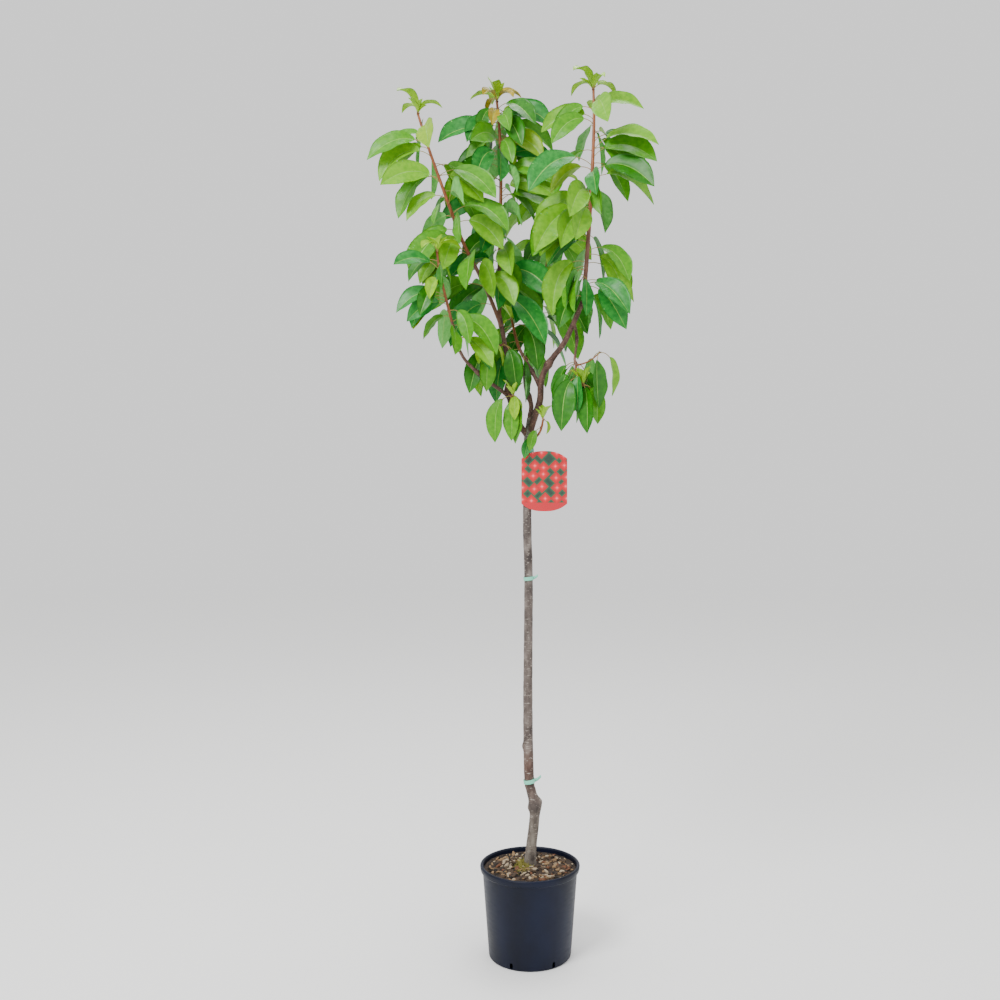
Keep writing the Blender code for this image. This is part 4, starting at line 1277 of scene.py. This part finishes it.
def printed_card():
    """Coated card, printed and varnished: red lozenges 31 mm apart, rose in the middle, on deep green."""
    made, tree, shader = material("printed_coated_card", Roughness=0.36, IOR=1.50, Coat_Weight=0.3,
                                  Coat_Roughness=0.12)
    where = node(tree, "ShaderNodeSeparateXYZ", Vector=node(tree, "ShaderNodeTexCoord").outputs["Object"])
    height = where.outputs["Z"]
    flat = node(tree, "ShaderNodeCombineXYZ", X=where.outputs["X"], Y=height)
    lozenges = {"distance": "MANHATTAN", "voronoi_dimensions": "2D"}
    motif = node(tree, "ShaderNodeTexVoronoi", lozenges, Vector=flat, Scale=1000 / PRINT_PITCH_MM,
                 Randomness=0.45)
    stops = ((0.00, "f8aeb0"), (0.08, "ee5a62"), (0.22, "d8141f"), (0.56, "b00a14"), (0.61, "2a5a3c"),
             (0.90, "17382a"))
    colour = node(tree, "ShaderNodeValToRGB", stops=stops, Fac=motif)
    # Under the lozenges runs a plain red band, flat and level
    band_top = LABEL_CENTRE[1] - BAND_BELOW
    band = node(tree, "ShaderNodeMath", {"operation": "LESS_THAN"}, i0=height, i1=band_top)
    mixed = node(tree, "ShaderNodeMix", {"data_type": "RGBA"}, i0=band, i6=colour, i7=linear("c41424"))
    feed(shader, Base_Color=mixed.outputs[2])
    return made


def make_label():
    """The picture card with a generic print, bowed a little, with its arched ends."""
    points, faces = label_solid(CARD_COLUMNS)
    obj = new_mesh("picture_card", points, faces, [printed_card()], smooth=False)
    settle(obj, "label_card", "label")


def band_solid(place, along, inner_low, inner_high, height, thickness, sides):
    """A closed strip round an axis, with round edges, that can be wider at the bottom."""
    side = (Vector((1, 0, 0)) - along * along.x).normalized()
    up = along.cross(side)
    points = []
    faces = []
    count = len(BAND_SECTION)
    for k in range(sides):
        angle = 2 * math.pi * k / sides
        out = side * math.cos(angle) + up * math.sin(angle)
        for deep, tall in BAND_SECTION:
            inner = inner_low + (inner_high - inner_low) * tall
            points.append(place + along * height * (tall - 0.5) + out * (inner + thickness * deep))
        after = (k + 1) % sides
        for a in range(count):
            b = (a + 1) % count
            faces.append((count * k + a, count * after + a, count * after + b, count * k + b))
    return points, faces


def make_strap():
    """The strap that the label hangs by: polythene film, teal, a little wider at the bottom."""
    skin = film("strap_film", "4fae8f")
    low, high = (trunk_at(z)[1] + STRAP_ROOM for z in STRAP_HEIGHTS)
    place, _ = trunk_at(sum(STRAP_HEIGHTS) / 2)
    height = STRAP_HEIGHTS[1] - STRAP_HEIGHTS[0]
    points, faces = band_solid(place, UP, low + STRAP_FLARE, high, height, STRAP_THICKNESS, 64)
    settle(new_mesh("label_strap_film", points, faces, [skin]), "strap", "label_strap")


def make_ties():
    """Soft vinyl tape tied round the trunk: a close band and a loose end that rises to the right."""
    SKIN["tape"] = film("soft_vinyl_tape", "74cdb0")
    for name, (z, height, tilt, tail) in TIES.items():
        place, radius = trunk_at(z)
        along = Vector((math.sin(tilt), 0, math.cos(tilt)))
        out = Vector((math.cos(tilt), 0, -math.sin(tilt)))
        inner = radius + TIE_ROOM
        heap = Heap(["tape"])
        heap.add(band_solid(place, along, inner, inner, height, TIE_THICKNESS, 56), "tape")
        start = place + out * (radius + TIE_THICKNESS / 2)
        deep = Vector((0, TIE_THICKNESS * 0.45, 0))
        rings = []
        for i in range(9):
            share = i / 8
            middle = start + out * tail * share + along * tail * TAIL_RISE * share * share
            tall = along * height * (0.42 - 0.1 * share)
            corners = (-deep - tall, deep - tall, deep + tall, -deep + tall)
            rings.append([middle + corner for corner in corners])
        heap.add(loft(rings), "tape")
        settle(heap.piece(name + "_tape"), "tie_tape", name)


def turned(profile, sides):
    """A closed solid turned about Z from a profile of radius and height that starts and ends on the axis."""
    points = [Vector((0, 0, profile[0][1]))]
    for radius, height in profile[1:-1]:
        for k in range(sides):
            angle = 2 * math.pi * k / sides
            points.append(Vector((radius * math.cos(angle), radius * math.sin(angle), height)))
    points.append(Vector((0, 0, profile[-1][1])))
    faces = []
    end = len(points) - 1
    for k in range(sides):
        after = (k + 1) % sides
        faces.append((0, 1 + after, 1 + k))
        for row in range(len(profile) - 3):
            a = 1 + row * sides
            faces.append((a + k, a + after, a + sides + after, a + sides + k))
        faces.append((end - sides + k, end - sides + after, end))
    return points, faces


def pot_profile():
    """Half the pot's section: the underside, the foot, the wall, the skirt, the rolled rim and the inside."""
    profile = [(0.0, 0.0), (BASE_RADIUS - BASE_CORNER, 0.0)]
    for i in range(1, CORNER_STEPS + 1):
        angle = math.pi / 2 * i / CORNER_STEPS
        radius = BASE_RADIUS - BASE_CORNER * (1 - math.sin(angle))
        profile.append((radius, BASE_CORNER * (1 - math.cos(angle))))
    skirt = POT_HEIGHT - RIM_DEPTH
    sweep = RIM_RADIUS - SWEEP_INSET - WALL_TOP_RADIUS
    for i in range(SWEEP_STEPS + 1):
        share = i / SWEEP_STEPS
        profile.append((WALL_TOP_RADIUS + sweep * share**2, skirt - SWEEP_DROP + SWEEP_HEIGHT * share))
    profile.append((RIM_RADIUS - SKIRT_INSET, skirt + SKIRT_CORNER))
    roll = RIM_WIDTH / 2
    for i in range(RIM_STEPS + 1):
        angle = math.pi * i / RIM_STEPS
        radius = RIM_RADIUS - roll + roll * math.cos(angle)
        profile.append((radius, POT_HEIGHT - roll + roll * math.sin(angle)))
    profile.append((WALL_TOP_RADIUS - WALL, POT_HEIGHT - roll - LIP_DEPTH))
    return [*profile, (BASE_RADIUS - WALL, FLOOR), (0.0, FLOOR)]


def make_pot():
    """The pot's wall, rolled rim and foot, with drain slots cut through at the foot."""
    points, faces = turned(pot_profile(), POT_SIDES)
    pot = new_mesh("moulded_pot", points, faces, [SKIN["pot"]])
    for i in range(DRAIN_SLOTS):
        cut(pot, drain_solid(DRAIN_FIRST_TURN + 2 * math.pi * i / DRAIN_SLOTS))
    pot.data.set_sharp_from_angle(angle=SHARP_EDGE)
    settle(pot, "pot_plastic", "pot")


def cut(obj, solid):
    """Takes a closed solid out of the object."""
    cutter = new_mesh("cutter", solid[0], solid[1], [SKIN["pot"]])
    modifier = obj.modifiers.new("cut", "BOOLEAN")
    modifier.operation = "DIFFERENCE"
    modifier.solver = "EXACT"
    modifier.object = cutter
    bpy.context.view_layer.update()
    graph = bpy.context.evaluated_depsgraph_get()
    mesh = bpy.data.meshes.new_from_object(obj.evaluated_get(graph))
    obj.modifiers.remove(modifier)
    obj.data = mesh
    bpy.data.objects.remove(cutter)


def drain_solid(turn):
    """A slot with a round top that goes through the wall at its foot."""
    half = DRAIN_WIDTH / 2
    foot = FLOOR + DRAIN_FOOT
    outline = [(-half, foot), (half, foot)]
    for i in range(DRAIN_STEPS + 1):
        angle = math.pi * i / DRAIN_STEPS
        outline.append((half * math.cos(angle), DRAIN_HEIGHT - half + half * math.sin(angle)))
    spin = Matrix.Rotation(turn, 3, "Z")
    rings = []
    for out in (BASE_RADIUS - DRAIN_CUT, BASE_RADIUS + DRAIN_CUT):
        rings.append([spin @ Vector((out, y, z)) for y, z in outline])
    return loft(rings)


def soil_level(x, y):
    """Height of the compost's top: a low mound at the trunk's foot, with lumps."""
    edge = WALL_TOP_RADIUS - WALL
    radius = min(math.hypot(x, y), edge)
    share = min(1.0, (edge - radius) / (edge - SOIL_MOUND_RADIUS))
    level = SOIL_EDGE_LEVEL + (SOIL_MOUND_LEVEL - SOIL_EDGE_LEVEL) * share**2
    lumps = sum(noise.noise(Vector((x * many, y * many, at))) * high for many, at, high in SOIL_LUMPS)
    return level + lumps * (1 - bell(from_trunk(x, y), SOIL_EVEN_RADIUS))


def from_trunk(x, y):
    """How far a place on the compost lies from the middle of the trunk's foot."""
    return math.hypot(x - TRUNK_PATH[0][0], y - TRUNK_PATH[0][1])


CHIP_COLOURS = (
    ("chip_cream", "a08f76", 16),
    ("chip_tan", "84694a", 20),
    ("chip_rust", "643f28", 10),
    ("chip_brown", "433324", 26),
    ("chip_dark", "1e1812", 30),
)


def chip_solid(centre, size, chance):
    """A flat chip of pine bark: an uneven block with broken corners."""
    long = size * chance.uniform(0.8, 1.6)
    wide = size * chance.uniform(0.45, 0.9)
    thick = size * chance.uniform(0.18, 0.4)
    spin = Matrix.Rotation(chance.uniform(0, 2 * math.pi), 3, "Z")
    for axis in "XY":
        spin = spin @ Matrix.Rotation(chance.uniform(-0.5, 0.5), 3, axis)
    corners = []
    for k in range(6):
        angle = 2 * math.pi * k / 6 + chance.uniform(-0.3, 0.3)
        corners.append((math.cos(angle) * long / 2, math.sin(angle) * wide / 2))
    rings = []
    for height, shrink in ((-0.5, 0.8), (0.0, 1.0), (0.5, 0.75)):
        rings.append([centre + spin @ Vector((x * shrink, y * shrink, height * thick)) for x, y in corners])
    return loft(rings)


def make_compost():
    """Compost under a scatter of bark chips, with a small tuft of moss to the left of the trunk."""
    edge = WALL_TOP_RADIUS - WALL - SOIL_ROOM
    points = [Vector((0, 0, soil_level(0, 0)))]
    for i in range(1, SOIL_RINGS + 1):
        for k in range(POT_SIDES):
            place = heading(2 * math.pi * k / POT_SIDES) * (edge * i / SOIL_RINGS)
            points.append(Vector((place.x, place.y, soil_level(place.x, place.y))))
    low = SOIL_EDGE_LEVEL - SOIL_SIDE
    points += [Vector((p.x * SOIL_SIDE_TAPER, p.y * SOIL_SIDE_TAPER, low)) for p in points[-POT_SIDES:]]
    faces = []
    for k in range(POT_SIDES):
        after = (k + 1) % POT_SIDES
        faces.append((0, 1 + k, 1 + after))
        for row in range(SOIL_RINGS):
            a = 1 + row * POT_SIDES
            faces.append((a + k, a + POT_SIDES + k, a + POT_SIDES + after, a + after))
    faces.append(tuple(1 + SOIL_RINGS * POT_SIDES + k for k in reversed(range(POT_SIDES))))
    settle(new_mesh("compost_top", points, faces, [SKIN["compost"]]), "compost", "soil")
    make_chips(edge)
    make_moss()


def make_chips(edge):
    """Bark chips strewn over the compost, clear of the trunk's foot."""
    names, colours, weights = zip(*CHIP_COLOURS)
    for name, colour in zip(names, colours):
        SKIN[name] = crumb(name, colour, colour)
    chance = random.Random(CHIP_SEED)
    heap = Heap(list(names))
    for _ in range(CHIPS):
        angle = chance.uniform(0, 2 * math.pi)
        size = CHIP_SMALLEST + CHIP_RANGE * chance.random() ** 1.6
        radius = (edge - size) * math.sqrt(chance.random())
        x = radius * math.cos(angle)
        y = radius * math.sin(angle)
        if from_trunk(x, y) < CHIP_FREE_RADIUS + size / 2:
            continue
        centre = Vector((x, y, soil_level(x, y) + size * 0.10))
        heap.add(chip_solid(centre, size, chance), chance.choices(names, weights)[0])
    obj = heap.piece("bark_chips")
    obj.data.shade_flat()
    settle(obj, "compost")


def make_moss():
    """A mat of moss and thin seedling blades round the trunk's left foot."""
    SKIN["moss"] = leaf_face("moss_mat", "5f5a1e", "97914a", 0.8, 0.0)
    chance = random.Random(MOSS_SEED)
    heap = Heap(["moss"])
    for k in range(MOSS_BLADES):
        seedling = k % 9 == 0
        x = chance.gauss(-0.020, 0.011)
        y = chance.gauss(-0.004, 0.019)
        root = Vector((x, y, soil_level(x, y) - 0.001))
        rise = chance.uniform(0.008, 0.017) if seedling else chance.uniform(0.003, 0.009)
        tip = root + Vector((chance.uniform(-0.6, 0.6), chance.uniform(-0.6, 0.6), 1)) * rise
        ring = [root + heading(turn) * MOSS_BLADE_RADIUS for turn in (0.0, 2.1, 4.2)]
        heap.add(loft([ring], tip), "moss")
    settle(heap.piece("moss_mat"), "compost")


def make_stage():
    """A pale floor, soft light from large lamps and a camera at eye height in front of the tree."""
    scene = bpy.context.scene
    painted, _, _ = material("pale_floor", Roughness=0.9, Base_Color=linear("fbfbfa"))
    half = FLOOR_HALF
    corners = [(-half, -half, 0), (half, -half, 0), (half, half, 0), (-half, half, 0)]
    new_mesh("floor", corners, [(0, 1, 2, 3)], [painted])
    world = scene.world or bpy.data.worlds.new("world")
    scene.world = world
    world.use_nodes = True
    feed(world.node_tree.nodes["Background"], Color=linear("ffffff"), Strength=SKY_STRENGTH)
    for name, (place, size, power) in LAMPS.items():
        lamp = bpy.data.lights.new(name, "AREA")
        lamp.size = size
        lamp.energy = power
        obj = bpy.data.objects.new(name, lamp)
        obj.location = place
        obj.rotation_mode = "QUATERNION"
        obj.rotation_quaternion = (LAMPS_AIM - Vector(place)).to_track_quat("-Z", "Y")
        scene.collection.objects.link(obj)
    camera = bpy.data.cameras.new("camera")
    camera.sensor_width = 36.0
    camera.lens = CAMERA_LENS
    camera.shift_x, camera.shift_y = CAMERA_SHIFT
    obj = bpy.data.objects.new("camera", camera)
    obj.location = CAMERA_PLACE
    obj.rotation_euler = (math.radians(90), 0, 0)
    scene.collection.objects.link(obj)
    scene.camera = obj


make_stage()
make_pot()
make_compost()
make_tree()
make_label()
make_strap()
make_ties()
